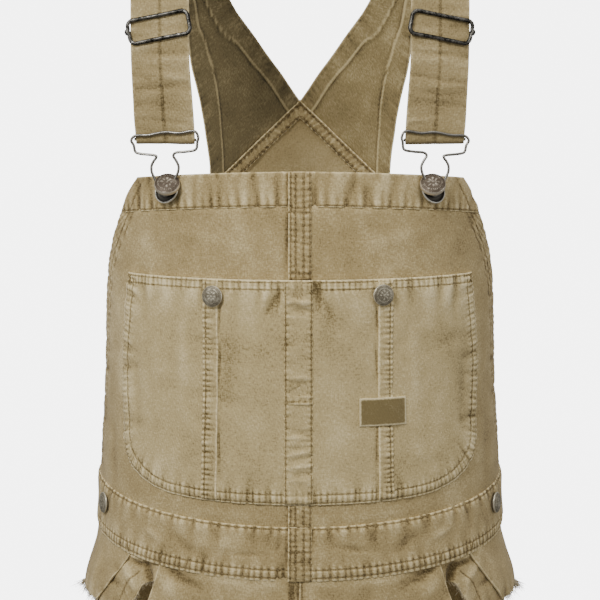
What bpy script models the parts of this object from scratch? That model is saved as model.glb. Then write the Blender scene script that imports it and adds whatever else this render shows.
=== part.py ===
"""Denim bib overalls, worn as a hollow form: every sewn piece and every metal fastener is its own object.

The origin is midway between the tops of the two shoulder straps, where the wearer carries the garment.
+Z is up, the front faces -Y, and the tables below are in millimetres and degrees.

Most of the cloth follows one body form. A place on it is given by an angle round the body, 0 at the front
centre, 90 at the side on +X and 180 at the back centre, by a level, and by how far it stands out along the
form's normal. The level is a height above the origin, and past RISE_LEVEL it is the length still walked
along the centre seam, which turns under the body to the crotch, and on down the inside of the leg.
"""
import math

import bpy
import numpy as np
from mathutils import Vector

MM = 0.001
COLLECTION = "Bib overalls"

# Cloth and trim walls, and the clearances between pieces
CLOTH = 1.6
STRAP_CLOTH = 2.0
WAISTBAND_CLOTH = 2.2
TRIM_CLOTH = 1.2
SEAM_WALL = 2.8
GAP = 0.3
HALF_GAP = GAP / 2

# How far each layer's outer face stands out from the form
PANEL_OUT = CLOTH
OVER_PANEL = PANEL_OUT + GAP
POCKET_OUT = OVER_PANEL + CLOTH
LABEL_LIFT = 1.7
PANEL_TRIM_OUT = OVER_PANEL + TRIM_CLOTH
WAISTBAND_OUT = OVER_PANEL + WAISTBAND_CLOTH
WAIST_TRIM_OUT = WAISTBAND_OUT + GAP + TRIM_CLOTH
FACING_OUT = -2 * GAP

# Grid steps of the cloth, and the first guess of a level when a panel's grid is settled
ANGLE_STEP = 5.0
PANEL_ANGLE_STEP = 6.0
BACK_ANGLE_STEP = 8.5
LEVEL_STEP = 21.0
GRID_ROUNDS = 6
FIRST_LEVEL = -300.0

# Half the steps over which the form's slopes are taken
SLOPE_TURN = 0.2
SLOPE_LEVEL = 0.5

# The body form
BODY_RINGS = (
    # level, half_width, front_depth, back_depth
    (-60, 150.0, 97.0, 86.0),
    (-90, 150.0, 100.0, 92.0),
    (-170, 148.5, 107.0, 103.0),
    (-215, 147.2, 110.0, 107.0),
    (-300, 148.3, 116.0, 111.0),
    (-360, 148.3, 119.0, 112.0),
    (-400, 149.6, 120.4, 112.7),
    (-430, 151.2, 121.2, 113.5),
    (-475, 152.6, 121.5, 117.0),
    (-495, 154.0, 121.8, 119.5),
    (-512, 158.0, 122.3, 122.0),
    (-526, 162.0, 122.9, 124.5),
    (-545, 165.0, 123.4, 127.5),
    (-560, 166.5, 123.5, 130.0),
    (-600, 169.5, 122.0, 136.0),
    (-650, 170.5, 119.0, 137.0),
    (-700, 168.0, 115.0, 131.0),
    (-745, 164.0, 111.0, 122.0),
)

# Below the rise level the form parts into two legs: the centre seam falls in a quarter of an ellipse
RISE_LEVEL = -590.0
RISE_DROP = 148.0
RISE_WALK = 210.0
RISE_SPREAD = 24.0
LEG_CENTRE = 84.0
LEG_HALF_WIDTH = 83.7
LEG_PARTING = 0.16
LEG_FRONT = 94.0
LEG_BACK = 106.0

# Bib
BIB_TOP_CENTRE = -214.6
BIB_TOP_DROP = 7.2
BIB_TOP_CORNER = 54.0
BIB_TOP_BEND = 1.7
TOP_BAND_HEIGHT = 25.5
BIB_INSET = 0.1
BIB_EDGE = (
    # level, angle
    (-205, 51.0),
    (-221.7, 53.9),
    (-231.7, 57.9),
    (-246.4, 62.5),
    (-259.7, 66.8),
    (-276.3, 71.6),
    (-291.7, 74.9),
    (-310, 77.4),
    (-343, 79.6),
    (-380, 81.6),
    (-415, 84.0),
    (-449, 88.0),
    (-470, 89.8),
    (-520, 89.8),
)

# Waistband: both edges rise from the front centre towards the sides
WAIST_TOP = -471.3
WAIST_SEAM = -492.0
WAIST_BOTTOM = -511.7
WAIST_RISE = 22.5
WAIST_RISE_ENDS = -620.0
SIDE_SEAM = 90.0
WAIST_SIDE_GAP = 0.06
CENTRE_STRIP = (-3.2, 3.1)

# Pocket on the bib
POCKET_TOP = -292.0
POCKET_SIDE = (
    # level, angle
    (-285, 57.3),
    (-292, 57.7),
    (-324, 59.8),
    (-361, 61.6),
    (-391, 60.4),
    (-425, 59.3),
)
POCKET_BOTTOM = (
    # share of the half width, level
    (0.00, -455.4),
    (0.40, -454.2),
    (0.62, -451.8),
    (0.78, -446.5),
    (0.90, -438.0),
    (0.965, -429.0),
    (1.00, -417.0),
)
POCKET_FULLNESS = 2.2
POCKET_SEWN_FULLNESS = 0.25
POCKET_OPEN_DEPTH = 110.0
POCKET_CORNER = 57.0
POCKET_STRIPS = (
    # name, angle from, angle to
    ("left", -27.6, -23.0),
    ("right", 21.8, 26.2),
)
POCKET_BAND = (-4.2, 3.4)
POCKET_GRID = (11, 25)
POCKET_SPREAD = 1.25
TRIM_GRID = (16, 3)
LABEL_GRID = (4, 15)
STRIP_TOP_INSET = 1.0
STRIP_FOOT_INSET = 1.2
STRIP_END_INSET = 0.4
LABEL_ANGLES = (16.3, 30.3)
LABEL_LEVELS = (-377.8, -398.4)
LABEL_STEP = 3.2
LABEL_EASE = 0.4

# Hip: the front panel's free pocket edge, the facing behind it, the side piece and the leg openings
FRONT_GRID = (21, 10)
FACING_GRID = (6, 7)
SIDE_GRID = (7, 12)
SEAT_GRID = (20, 10)
MOUTH_EDGE = (
    # level, distance from the centre plane
    (-480, 97.0),
    (-504, 102.5),
    (-533, 111.8),
    (-560, 121.0),
    (-590, 131.0),
    (-625, 140.5),
    (-665, 147.5),
    (-705, 149.5),
)
FRONT_HEM = (
    # angle, level
    (0, -836.0),
    (20, -836.0),
    (34, -829.0),
    (45, -808.0),
    (53, -774.0),
    (59, -734.0),
    (64, -700.0),
)
FACING_ANGLES = (37.0, 62.0)
FACING_HEM = (
    # angle, level
    (34, -521.0),
    (44, -529.0),
    (51, -538.0),
    (60, -547.0),
    (72, -551.0),
)
SIDE_PIECE_FRONT = (
    # level, angle
    (-470, 50.0),
    (-502, 54.0),
    (-527.6, 61.7),
    (-544.5, 68.2),
    (-560, 73.0),
)
SIDE_PIECE_BACK = 117.89
SIDE_PIECE_HEM = (
    # angle, level
    (60, -541.0),
    (68, -544.5),
    (78, -546.5),
    (90, -549.5),
    (105, -552.0),
    (118, -553.0),
)
SEAT_SIDE = (
    # level, angle
    (-480, 118.11),
    (-552, 118.11),
    (-575, 118.5),
    (-620, 119.8),
    (-665, 122.0),
    (-705, 125.6),
    (-740, 131.0),
)
SEAT_HEM = (
    # angle, level
    (128, -736.0),
    (134, -774.0),
    (142, -808.0),
    (152, -829.0),
    (165, -836.0),
    (180, -836.0),
)

# Back panel, the diagonal seams over it, and the wings that carry the straps
DIAGONAL_APEX = -178.0
DIAGONAL_WIDTH_LEVEL = -215.0
DIAGONAL_SLOPE = 0.96
DIAGONAL_HALF_HEIGHT = 7.4
DIAGONAL_ENDS = (0.15, 28.9)
BACK_EDGE = (
    # level, angle
    (-225, 150.8),
    (-247, 151.2),
    (-272, 150.0),
    (-302, 146.0),
    (-337, 139.0),
    (-372, 129.0),
    (-405, 117.0),
    (-432, 105.0),
    (-449, 93.5),
    (-460, 90.2),
    (-520, 90.2),
)
WING_GRID = (15, 8)
WING_ROWS = (
    # outer x, y, z, inner x, y, z, hug: 1 lies on the body form, 0 runs straight between its ends
    (71.2, 94, -238.6, 0.3, 103, -170.5, 1.0),
    (71.9, 94, -222.0, 9.5, 103, -158.6, 1.0),
    (74.4, 92, -203.0, 18.0, 101, -147.0, 1.0),
    (77.2, 89, -183.3, 27.0, 98, -134.5, 1.0),
    (81.2, 85, -163.0, 36.2, 93.5, -121.0, 1.0),
    (85.4, 81.5, -145.0, 43.5, 91.0, -111.0, 1.0),
    (88.6, 78.5, -118.0, 50.5, 88.5, -101.0, 0.8),
    (91.8, 73.0, -92.0, 57.0, 84.0, -88.0, 0.5),
    (100.5, 62.0, -62.0, 63.5, 72.0, -62.0, 0.15),
    (110.5, 46.5, -32.5, 71.5, 53.5, -34.0, 0.0),
    (118.5, 28.4, -10.5, 77.5, 29.0, -10.6, 0.0),
)

# Shoulder straps: the front layer, from the wing over the shoulder and down to the buckle
STRAP_ROWS = (
    # y, z, outer x, inner x, how far the outer edge lies behind the inner one
    (28.0, -10.1, 118.8, 77.8, 0.0),
    (14.0, -2.6, 121.8, 79.4, 0.0),
    (0.0, 0.0, 123.0, 80.2, 0.8),
    (-15.0, -2.2, 123.5, 80.6, 2.2),
    (-34.0, -12.5, 123.6, 80.7, 4.5),
    (-54.0, -34.0, 123.5, 80.6, 7.0),
    (-70.0, -64.0, 123.1, 80.3, 9.0),
    (-80.0, -95.5, 122.8, 80.1, 9.2),
    (-85.5, -132.0, 122.4, 79.9, 9.2),
    (-87.3, -160.0, 121.2, 78.0, 9.2),
    (-88.0, -180.0, 120.2, 76.6, 9.1),
    (-88.2, -193.0, 119.0, 76.0, 9.1),
)
CHEST_LEAN = 0.212
FOLD_RADIUS = 1.65
FOLD_STEPS = 6
RETURN_TOP = -109.0
STRAP_COLUMNS = 3
STRAP_ROWS_DOWN = 26

# Slider and buckle
SLIDER_WIRE = 2.9
SLIDER_LENGTH = 47.5
SLIDER_HEIGHT = 19.8
SLIDER_CORNER = 5.0
SLIDER_CENTRE = (101.9, -111.9)
SLIDER_TILT = 11.3
BAR_RADIUS = 1.1
BAR_LENGTH = 45.0
BUCKLE_WIRE = 1.7
BUCKLE_BAR_LEVEL = -193.0
BUCKLE_ROUTE = (
    # distance out from the strap's line, height, depth in front of the buckle's plane
    (21.4, -190.2, -0.2),
    (12.0, -189.6, -0.2),
    (0.0, -187.4, -0.2),
    (-10.0, -187.9, -0.2),
    (-21.2, -186.4, -0.2),
    (-24.3, -190.4, 0.0),
    (-23.7, -194.4, 0.0),
    (-22.6, -199.6, 0.0),
    (-16.0, -201.2, 0.1),
    (-8.4, -202.0, 0.2),
    (-6.2, -204.4, 0.2),
    (-8.4, -208.2, 0.2),
    (-10.0, -213.0, 0.2),
    (-9.6, -219.5, 0.1),
    (-7.8, -226.0, 0.0),
    (-4.4, -231.2, -0.2),
    (0.0, -233.4, -0.4),
    (4.2, -231.4, -0.2),
    (7.4, -226.6, 0.0),
    (9.4, -220.5, 0.1),
    (9.6, -214.0, 0.2),
    (8.6, -209.0, 0.2),
    (6.4, -205.8, 0.2),
    (7.6, -204.2, 0.2),
    (18.0, -203.2, 0.1),
    (21.6, -201.8, 0.0),
    (22.8, -197.2, 0.0),
    (24.6, -193.6, 0.0),
)
BUCKLE_STEPS = 44
BUCKLE_LINE = 97.7
BUCKLE_PLANE = -91.7

# Buttons: turned profiles as radius and height, from the crown down to the foot
BIB_BUTTON_PLACE = (40.0, -230.2)
BIB_BUTTON_TILT = 40.0
BIB_BUTTON_TURN = 2.0
BIB_BUTTON_HEAD = (
    # radius, height
    (0.0, 12.4),
    (3.6, 12.2),
    (6.6, 11.5),
    (8.3, 10.6),
    (9.0, 9.8),
    (9.1, 9.0),
    (8.5, 8.4),
    (4.0, 8.1),
    (2.6, 7.4),
    (2.5, 0.0),
    (0.0, 0.0),
)
BIB_BUTTON_BASE = (
    # radius, height
    (0.0, 1.2),
    (6.6, 1.2),
    (8.6, 1.7),
    (9.3, 1.2),
    (9.3, 0.5),
    (8.7, 0.0),
    (0.0, 0.0),
)
TACK_HEAD = (
    # radius, height, for a head of radius 1
    (0.00, 0.37),
    (0.34, 0.36),
    (0.64, 0.31),
    (0.86, 0.25),
    (0.97, 0.18),
    (1.00, 0.11),
    (0.94, 0.03),
    (0.86, 0.00),
    (0.00, 0.00),
)
BUTTON_SIDES = 16
BUTTON_SHANK_GAP = 2.0
POCKET_BUTTONS = (
    # name, angle, level
    ("left", -24.2, -304.6),
    ("right", 22.9, -303.6),
)
POCKET_BUTTON_RADIUS = 7.9
SIDE_BUTTON_ANGLE = 70.8
SIDE_BUTTON_LEVEL = -470.0
SIDE_BUTTON_RADIUS = 8.0
BUTTON_SEAT = 0.35

# Large soft folds of the worn cloth, as troughs and ridges of the form
FOLDS = (
    # angle, level, along the angle, along the level, height, slant
    (-24, -537, 11.0, 12.0, -2.0, -0.25),
    (-10, -556, 14.0, 13.0, 1.4, 0.20),
    (25, -538, 11.0, 12.0, -1.9, 0.25),
    (12, -558, 13.0, 13.0, 1.3, -0.20),
    (-44, -350, 9.0, 40.0, 1.3, 0.05),
    (46, -345, 9.0, 42.0, 1.2, -0.05),
    (0, -340, 12.0, 50.0, 0.8, 0.00),
    (-80, -530, 9.0, 16.0, 1.6, 0.10),
    (80, -530, 9.0, 16.0, 1.6, -0.10),
    (150, -560, 10.0, 30.0, 1.8, -0.20),
    (-152, -562, 10.0, 30.0, 1.7, 0.20),
    (166, -610, 9.0, 34.0, -1.6, 0.10),
    (-165, -606, 9.0, 34.0, -1.6, -0.10),
    (128, -430, 16.0, 10.0, -1.4, 0.20),
    (-130, -428, 16.0, 10.0, -1.4, -0.20),
    (172, -330, 18.0, 26.0, -1.2, 0.10),
)

FINISHES = {
    # name: linear colour, roughness, metallic
    "canvas": ((0.335, 0.285, 0.175, 1.0), 0.92, 0.0),
    "pocket_canvas": ((0.375, 0.315, 0.200, 1.0), 0.92, 0.0),
    "strap_canvas": ((0.310, 0.255, 0.145, 1.0), 0.92, 0.0),
    "label_patch": ((0.180, 0.135, 0.062, 1.0), 0.85, 0.0),
    "antique_metal": ((0.240, 0.200, 0.155, 1.0), 0.42, 1.0),
    "dark_metal": ((0.050, 0.050, 0.045, 1.0), 0.35, 1.0),
}


def columns(table):
    """The columns of a table of numbers, each sorted so that the first one rises."""
    rows = np.array(table, dtype=float)
    return rows[np.argsort(rows[:, 0])].T


def smooth(value, knots, samples):
    """A cubic Hermite curve through the samples that never overshoots them, level outside them.

    The slope at an inner sample is the harmonic mean of the two chords beside it, or 0 where they turn.
    """
    value = np.clip(np.asarray(value, dtype=float), knots[0], knots[-1])
    chords = np.diff(samples) / np.diff(knots)
    before, after = chords[:-1], chords[1:]
    same_way = before * after > 0
    total = np.where(same_way, before + after, 1.0)
    inner_slopes = np.where(same_way, 2 * before * after / total, 0.0)
    slopes = np.concatenate([chords[:1], inner_slopes, chords[-1:]])
    index = np.clip(np.searchsorted(knots, value, side="right") - 1, 0, len(knots) - 2)
    width = knots[index + 1] - knots[index]
    t = (value - knots[index]) / width
    start = (1 + 2 * t) * (1 - t) ** 2 * samples[index] + t * (1 - t) ** 2 * width * slopes[index]
    end = t * t * (3 - 2 * t) * samples[index + 1] + t * t * (t - 1) * width * slopes[index + 1]
    return start + end


def read(table, value, name=1):
    """One named column of a table, read smoothly at a value of its first column."""
    data = columns(table)
    return smooth(value, data[0], data[name])


def ease(value):
    """The step that rises from 0 to 1 with level ends."""
    value = np.clip(value, 0.0, 1.0)
    return value * value * (3 - 2 * value)


def folds(angle, level):
    """The sum of the soft folds: each is a bell across and along, leaning by its slant."""
    height = 0.0
    for fold_angle, fold_level, across, along, lift, slant in FOLDS:
        turn = (angle - fold_angle - slant * (level - fold_level)) / across
        drop = (level - fold_level) / along
        height = height + lift * np.exp(-turn * turn - drop * drop)
    return height


def half_form(turn, level):
    """Points of the +X half of the form; turn runs from 0 at the front centre to 180 behind.

    Each level of the body is half an ellipse before and half behind. Each level of a leg is a whole ellipse,
    walked from the inside of the leg, round its front, side and back, and again to the inside. Between the
    rise level and the crotch the one passes into the other, first and furthest at the centre seam.
    """
    walk = np.clip((RISE_LEVEL - level) / RISE_WALK, 0.0, 1.0)
    quarter = walk * math.pi / 2
    past = np.minimum(level - (RISE_LEVEL - RISE_WALK), 0.0)
    height = np.where(level < RISE_LEVEL, RISE_LEVEL - RISE_DROP * np.sin(quarter) + past, level)
    front = turn < 90
    body_turn = np.radians(turn)
    depth = np.where(front, read(BODY_RINGS, height, 2), read(BODY_RINGS, height, 3))
    body_x = read(BODY_RINGS, height, 1) * np.sin(body_turn)
    body_y = -depth * np.cos(body_turn)
    leg_turn = np.radians(2 * turn - 90)
    leg_x = LEG_CENTRE - LEG_PARTING * past + LEG_HALF_WIDTH * np.sin(leg_turn)
    leg_y = -np.where(front, LEG_FRONT, LEG_BACK) * np.cos(leg_turn)
    from_centre = np.minimum(np.abs(turn), np.abs(180 - turn)) / RISE_SPREAD
    centre = np.exp(-from_centre ** 2)
    share = centre * (1 - np.cos(quarter)) + (1 - centre) * ease(np.sin(quarter))
    return np.stack([body_x + (leg_x - body_x) * share, body_y + (leg_y - body_y) * share, height], axis=-1)


def halves(angle, level):
    """The turn on the +X half and the side's sign for any angle."""
    angle, level = np.broadcast_arrays(np.asarray(angle, dtype=float), np.asarray(level, dtype=float))
    folded = np.mod(angle, 360.0)
    side = np.where(folded <= 180.0, 1.0, -1.0)
    return np.where(side > 0, folded, 360.0 - folded), side, level


def form_point(angle, level):
    """Points of the form on either side."""
    turn, side, level = halves(angle, level)
    point = half_form(turn, level)
    point[..., 0] *= side
    return point


def form_normal(angle, level):
    """The form's outward normal, from its slopes along the turn and along the level."""
    turn, side, level = halves(angle, level)
    around = half_form(turn + SLOPE_TURN, level) - half_form(turn - SLOPE_TURN, level)
    up = half_form(turn, level + SLOPE_LEVEL) - half_form(turn, level - SLOPE_LEVEL)
    normal = np.cross(around, up)
    normal = normal / np.linalg.norm(normal, axis=-1, keepdims=True)
    normal[..., 0] *= side
    return normal


def place(angle, level, out=0.0):
    """Points at an angle and a level, standing out from the folded form.

    Below the rise level they stay on their own side of the centre plane, half a seam's gap from it.
    """
    lift = np.asarray(out + folds(angle, level), dtype=float)
    point = form_point(angle, level) + form_normal(angle, level) * lift[..., None]
    _, side, level = halves(angle, level)
    reach = point[..., 0] * side
    point[..., 0] = side * np.where(level < RISE_LEVEL, np.maximum(reach, HALF_GAP), reach)
    return point


def waist_level(angle, level):
    """A level that runs with the waistband: it rises towards the sides, less and less below the waist."""
    share = ease((level - WAIST_RISE_ENDS) / (WAIST_BOTTOM - WAIST_RISE_ENDS))
    return level + WAIST_RISE * (1 - np.cos(np.radians(np.clip(np.abs(angle), 0, 90)))) * share


def angle_at(distance, level, behind=False):
    """The angle at which the body is this far from the centre plane."""
    turn = np.degrees(np.arcsin(np.clip(distance / read(BODY_RINGS, level, 1), -1, 1)))
    return 180.0 - turn if behind else turn


def sheet_grid(start, end, top, bottom, rows, column_count, spread=1.0):
    """Angles and levels of a panel's grid.

    start and end give the angle of its two upright edges at a level, top and bottom give the level of its
    two cross edges at an angle. Levels and angles are settled against each other in a few rounds.
    """
    across = np.linspace(0, 1, column_count)[None, :]
    if spread != 1.0:
        centred = 2 * across - 1
        across = 0.5 + 0.5 * np.sign(centred) * (1 - (1 - np.abs(centred)) ** spread)
    down = np.linspace(0, 1, rows)[:, None]
    angle = np.full((rows, column_count), 0.5 * (start(FIRST_LEVEL) + end(FIRST_LEVEL)))
    for _ in range(GRID_ROUNDS):
        level = top(angle) + (bottom(angle) - top(angle)) * down
        first = start(level[:, :1])
        last = end(level[:, -1:])
        angle = first + (last - first) * across
    return angle, level


def add_material(name):
    """One Principled material for each finish, made the first time that it is asked for."""
    material = bpy.data.materials.get(name)
    if material is None:
        colour, roughness, metallic = FINISHES[name]
        material = bpy.data.materials.new(name)
        material.use_nodes = True
        shader = material.node_tree.nodes["Principled BSDF"]
        shader.inputs["Base Color"].default_value = colour
        shader.inputs["Roughness"].default_value = roughness
        shader.inputs["Metallic"].default_value = metallic
        material.diffuse_color = colour
    return material


def add_object(name, data, finish):
    """Link a new object with its finish to the garment's collection, under the garment's empty."""
    item = bpy.data.objects.new(name, data)
    bpy.data.collections[COLLECTION].objects.link(item)
    item.parent = bpy.data.objects["overalls"]
    data.materials.append(add_material(finish))
    return item


def cloth(name, points, wall, finish="canvas"):
    """A grid of outer points, rows down and columns round, made a wall by Solidify.

    The rows run downwards and the columns towards +angle, so the faces look outwards.
    """
    rows, column_count = points.shape[:2]
    index = np.arange(rows * column_count).reshape(rows, column_count)
    quads = np.stack([index[:-1, :-1], index[1:, :-1], index[1:, 1:], index[:-1, 1:]], axis=-1).reshape(-1, 4)
    mesh = bpy.data.meshes.new(name)
    mesh.from_pydata((points.reshape(-1, 3) * MM).tolist(), [], quads.tolist())
    mesh.shade_smooth()
    mesh.set_sharp_from_angle(angle=math.radians(40))
    item = add_object(name, mesh, finish)
    solid = item.modifiers.new("wall", "SOLIDIFY")
    solid.thickness = wall * MM
    solid.offset = -1.0
    return item


def step_count(span, step):
    """How many grid lines a span needs."""
    return max(2, int(math.ceil(abs(span) / step)) + 1)


def panel(name, start, end, top, bottom, out, wall, counts, finish="canvas", spread=1.0):
    """A cloth piece on the form, between two upright edges and two cross edges, of so many rows and columns."""
    rows, column_count = counts
    angle, level = sheet_grid(start, end, top, bottom, rows, column_count, spread)
    stand = out(angle, level) if callable(out) else out
    return cloth(name, place(angle, level, stand), wall, finish)


def constant(value):
    """An edge that stays at one angle or one level."""
    return lambda other: np.zeros_like(np.asarray(other, dtype=float)) + value


def mirrored(side, first, last):
    """The start and end edges of a piece on one side; on -X they swap places and change sign."""
    if side > 0:
        return first, last
    return (lambda level: -last(level)), (lambda level: -first(level))


SIDES = (
    # name, sign of x
    ("left", -1),
    ("right", 1),
)


def bib_top(angle):
    """Level of the bib's top edge, which drops towards the corners."""
    return BIB_TOP_CENTRE - BIB_TOP_DROP * (np.abs(angle) / BIB_TOP_CORNER) ** BIB_TOP_BEND


def seam_gap_angle(level):
    """Half a seam's gap at the centre plane, as an angle."""
    return angle_at(HALF_GAP, level)


def waist_line(level):
    """A cross edge that runs with the waistband through this level at the front centre."""
    return lambda angle: waist_level(angle, level)


def from_table(table, shift=0.0):
    """An upright edge's angle at a level, read from a table of the +X side."""
    return lambda level: read(table, level) + shift


def hem_from(table):
    """A cross edge's level at an angle, read from a table that holds for both sides."""
    return lambda angle: read(table, np.abs(angle))


def build_bib():
    """The two bib halves under the top hem band, the band, and the felled strip over their seam."""
    for name, side in SIDES:
        start, end = mirrored(side, seam_gap_angle, from_table(BIB_EDGE, -BIB_INSET))
        panel("bib_" + name, start, end,
              lambda angle: bib_top(angle) - TOP_BAND_HEIGHT - HALF_GAP, waist_line(WAIST_SEAM + HALF_GAP),
              PANEL_OUT, CLOTH, (step_count(250, LEVEL_STEP), step_count(90, PANEL_ANGLE_STEP)))
    panel("bib_top_band", lambda level: -read(BIB_EDGE, level), from_table(BIB_EDGE),
          bib_top, lambda angle: bib_top(angle) - TOP_BAND_HEIGHT + HALF_GAP,
          PANEL_OUT, 2 * CLOTH, (3, step_count(120, ANGLE_STEP)))
    panel("centre_seam_upper", constant(CENTRE_STRIP[0]), constant(CENTRE_STRIP[1]),
          lambda angle: bib_top(angle) - STRIP_END_INSET, constant(POCKET_TOP + GAP),
          PANEL_TRIM_OUT, TRIM_CLOTH, (11, 3))


def pocket_bottom(angle):
    """Level of the pocket's bottom edge, rounded at the corners."""
    share = np.abs(angle) / read(POCKET_SIDE, POCKET_SIDE[-1][0])
    return read(POCKET_BOTTOM, np.clip(share, 0, 1))


def pocket_stand(angle, level):
    """The pocket's outer face: it stands away from the bib along its open top, between its corners."""
    open_top = 1 - ease((POCKET_TOP - level) / POCKET_OPEN_DEPTH)
    across = np.clip(angle, -POCKET_CORNER, POCKET_CORNER) / POCKET_CORNER
    between = np.cos(across * math.pi / 2) ** 2
    share = POCKET_SEWN_FULLNESS + (1 - POCKET_SEWN_FULLNESS) * open_top
    return POCKET_OUT + POCKET_FULLNESS * share * between


def trim_stand(angle, level):
    """The outer face of what is sewn flat on the pocket."""
    return pocket_stand(angle, level) + GAP + TRIM_CLOTH


def label_stand(angle, level):
    """The label's outer face: it lies on the pocket and steps up over the right strip."""
    _, first, last = POCKET_STRIPS[1]
    past_strip = np.abs(angle - 0.5 * (first + last)) - 0.5 * (last - first)
    return trim_stand(angle, level) + LABEL_LIFT * (1 - ease((past_strip - LABEL_EASE) / LABEL_STEP))


def build_pocket():
    """The pocket, its centre band and two strips, the blank label, and the two buttons at the top."""
    panel("bib_pocket", lambda level: -read(POCKET_SIDE, level), from_table(POCKET_SIDE),
          constant(POCKET_TOP), pocket_bottom,
          pocket_stand, CLOTH, POCKET_GRID, "pocket_canvas", spread=POCKET_SPREAD)
    trims = [("pocket_strip_" + name, first, last) for name, first, last in POCKET_STRIPS]
    trims.append(("pocket_centre_band", *POCKET_BAND))
    for name, first, last in trims:
        panel(name, constant(first), constant(last),
              constant(POCKET_TOP - STRIP_TOP_INSET), lambda angle: pocket_bottom(angle) + STRIP_FOOT_INSET,
              trim_stand, TRIM_CLOTH, TRIM_GRID, "pocket_canvas")
    panel("label_patch", constant(LABEL_ANGLES[0]), constant(LABEL_ANGLES[1]),
          constant(LABEL_LEVELS[0]), constant(LABEL_LEVELS[1]),
          label_stand, TRIM_CLOTH, LABEL_GRID, "label_patch")


def build_waist():
    """The waistband, its two front halves and its back, and the felled strip over the front centre."""
    top = waist_line(WAIST_TOP)
    bottom = waist_line(WAIST_BOTTOM)
    for name, side in SIDES:
        start, end = mirrored(side, seam_gap_angle, constant(SIDE_SEAM - WAIST_SIDE_GAP))
        panel("waistband_front_" + name, start, end, top, bottom,
              WAISTBAND_OUT, WAISTBAND_CLOTH, (3, step_count(90, ANGLE_STEP)))
    panel("waistband_back", constant(SIDE_SEAM + WAIST_SIDE_GAP), constant(360 - SIDE_SEAM - WAIST_SIDE_GAP),
          top, bottom, WAISTBAND_OUT, WAISTBAND_CLOTH, (3, step_count(180, ANGLE_STEP)))
    panel("centre_seam_bib", constant(CENTRE_STRIP[0]), constant(CENTRE_STRIP[1]),
          lambda angle: pocket_bottom(angle) - GAP, waist_line(WAIST_TOP + GAP),
          PANEL_TRIM_OUT, TRIM_CLOTH, (3, 3))
    panel("centre_seam_waist", constant(CENTRE_STRIP[0]), constant(CENTRE_STRIP[1]),
          waist_line(WAIST_TOP - STRIP_END_INSET), waist_line(WAIST_BOTTOM + STRIP_END_INSET),
          WAIST_TRIM_OUT, TRIM_CLOTH, (3, 3))


def build_hips():
    """Front panels, pocket facings, side pieces and seat panels, with the raw leg openings."""
    top = waist_line(WAIST_SEAM - HALF_GAP)
    for name, side in SIDES:
        start, end = mirrored(side, seam_gap_angle, lambda level: angle_at(read(MOUTH_EDGE, level), level))
        panel("front_panel_" + name, start, end, top, hem_from(FRONT_HEM), PANEL_OUT, CLOTH, FRONT_GRID)
        start, end = mirrored(side, constant(FACING_ANGLES[0]), constant(FACING_ANGLES[1]))
        panel("pocket_facing_" + name, start, end, top, hem_from(FACING_HEM), FACING_OUT, CLOTH, FACING_GRID)
        start, end = mirrored(side, from_table(SIDE_PIECE_FRONT), constant(SIDE_PIECE_BACK))
        panel("side_piece_" + name, start, end, top, hem_from(SIDE_PIECE_HEM), PANEL_OUT, CLOTH, SIDE_GRID)
        start, end = mirrored(side, from_table(SEAT_SIDE), lambda level: 180 - seam_gap_angle(level))
        panel("seat_panel_" + name, start, end, top, hem_from(SEAT_HEM), PANEL_OUT, CLOTH, SEAT_GRID)


def diagonal(angle, offset):
    """Level of the diagonal seam's line behind, shifted up or down."""
    distance = read(BODY_RINGS, DIAGONAL_WIDTH_LEVEL, 1) * np.abs(np.sin(np.radians(angle)))
    return DIAGONAL_APEX - DIAGONAL_SLOPE * distance + offset


def build_back():
    """The back panel, the two diagonal felled seams over it, and the two wings up to the shoulders."""
    panel("back_panel", from_table(BACK_EDGE), lambda level: 360 - read(BACK_EDGE, level),
          lambda angle: diagonal(angle, -DIAGONAL_HALF_HEIGHT - GAP), waist_line(WAIST_SEAM + HALF_GAP),
          PANEL_OUT, CLOTH, (step_count(270, LEVEL_STEP), step_count(176, BACK_ANGLE_STEP)))
    for name, side in SIDES:
        start, end = sorted(180 - side * end for end in DIAGONAL_ENDS)
        panel("back_seam_" + name, constant(start), constant(end),
              lambda angle: diagonal(angle, DIAGONAL_HALF_HEIGHT),
              lambda angle: diagonal(angle, -DIAGONAL_HALF_HEIGHT),
              PANEL_OUT + 0.5 * (SEAM_WALL - CLOTH), SEAM_WALL, (3, 9))
        cloth("back_wing_" + name, wing_points(side), CLOTH)


def wing_points(side):
    """A wing's outer points: rows across it, from its diagonal seam up to the shoulder.

    On the body form a row runs in angle and level between its ends, and over the shoulder it runs straight.
    """
    table = np.array(WING_ROWS, dtype=float)
    knots = np.linspace(0, 1, len(table))
    steps = np.linspace(0, 1, WING_GRID[0])
    outer_x, outer_y, outer_z, inner_x, inner_y, inner_z, hug = [smooth(steps, knots, c) for c in table.T]
    share = np.linspace(0, 1, WING_GRID[1])[None, :]
    outer_z = outer_z + GAP
    inner_z = inner_z + GAP
    outer_angle = angle_at(outer_x, outer_z, True)[:, None]
    inner_angle = angle_at(inner_x, inner_z, True)[:, None]
    angle = outer_angle + (inner_angle - outer_angle) * share
    level = outer_z[:, None] + (inner_z - outer_z)[:, None] * share
    on_form = place(angle, level, PANEL_OUT)
    ends = np.stack([outer_x, outer_y, outer_z], -1)[:, None], np.stack([inner_x, inner_y, inner_z], -1)[:, None]
    straight = ends[0] + (ends[1] - ends[0]) * share[..., None]
    points = straight + (on_form - straight) * hug[:, None, None]
    points = points[::-1]
    if side < 0:
        points = points * np.array([-1, 1, 1])
        points = points[:, ::-1]
    return points


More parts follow.
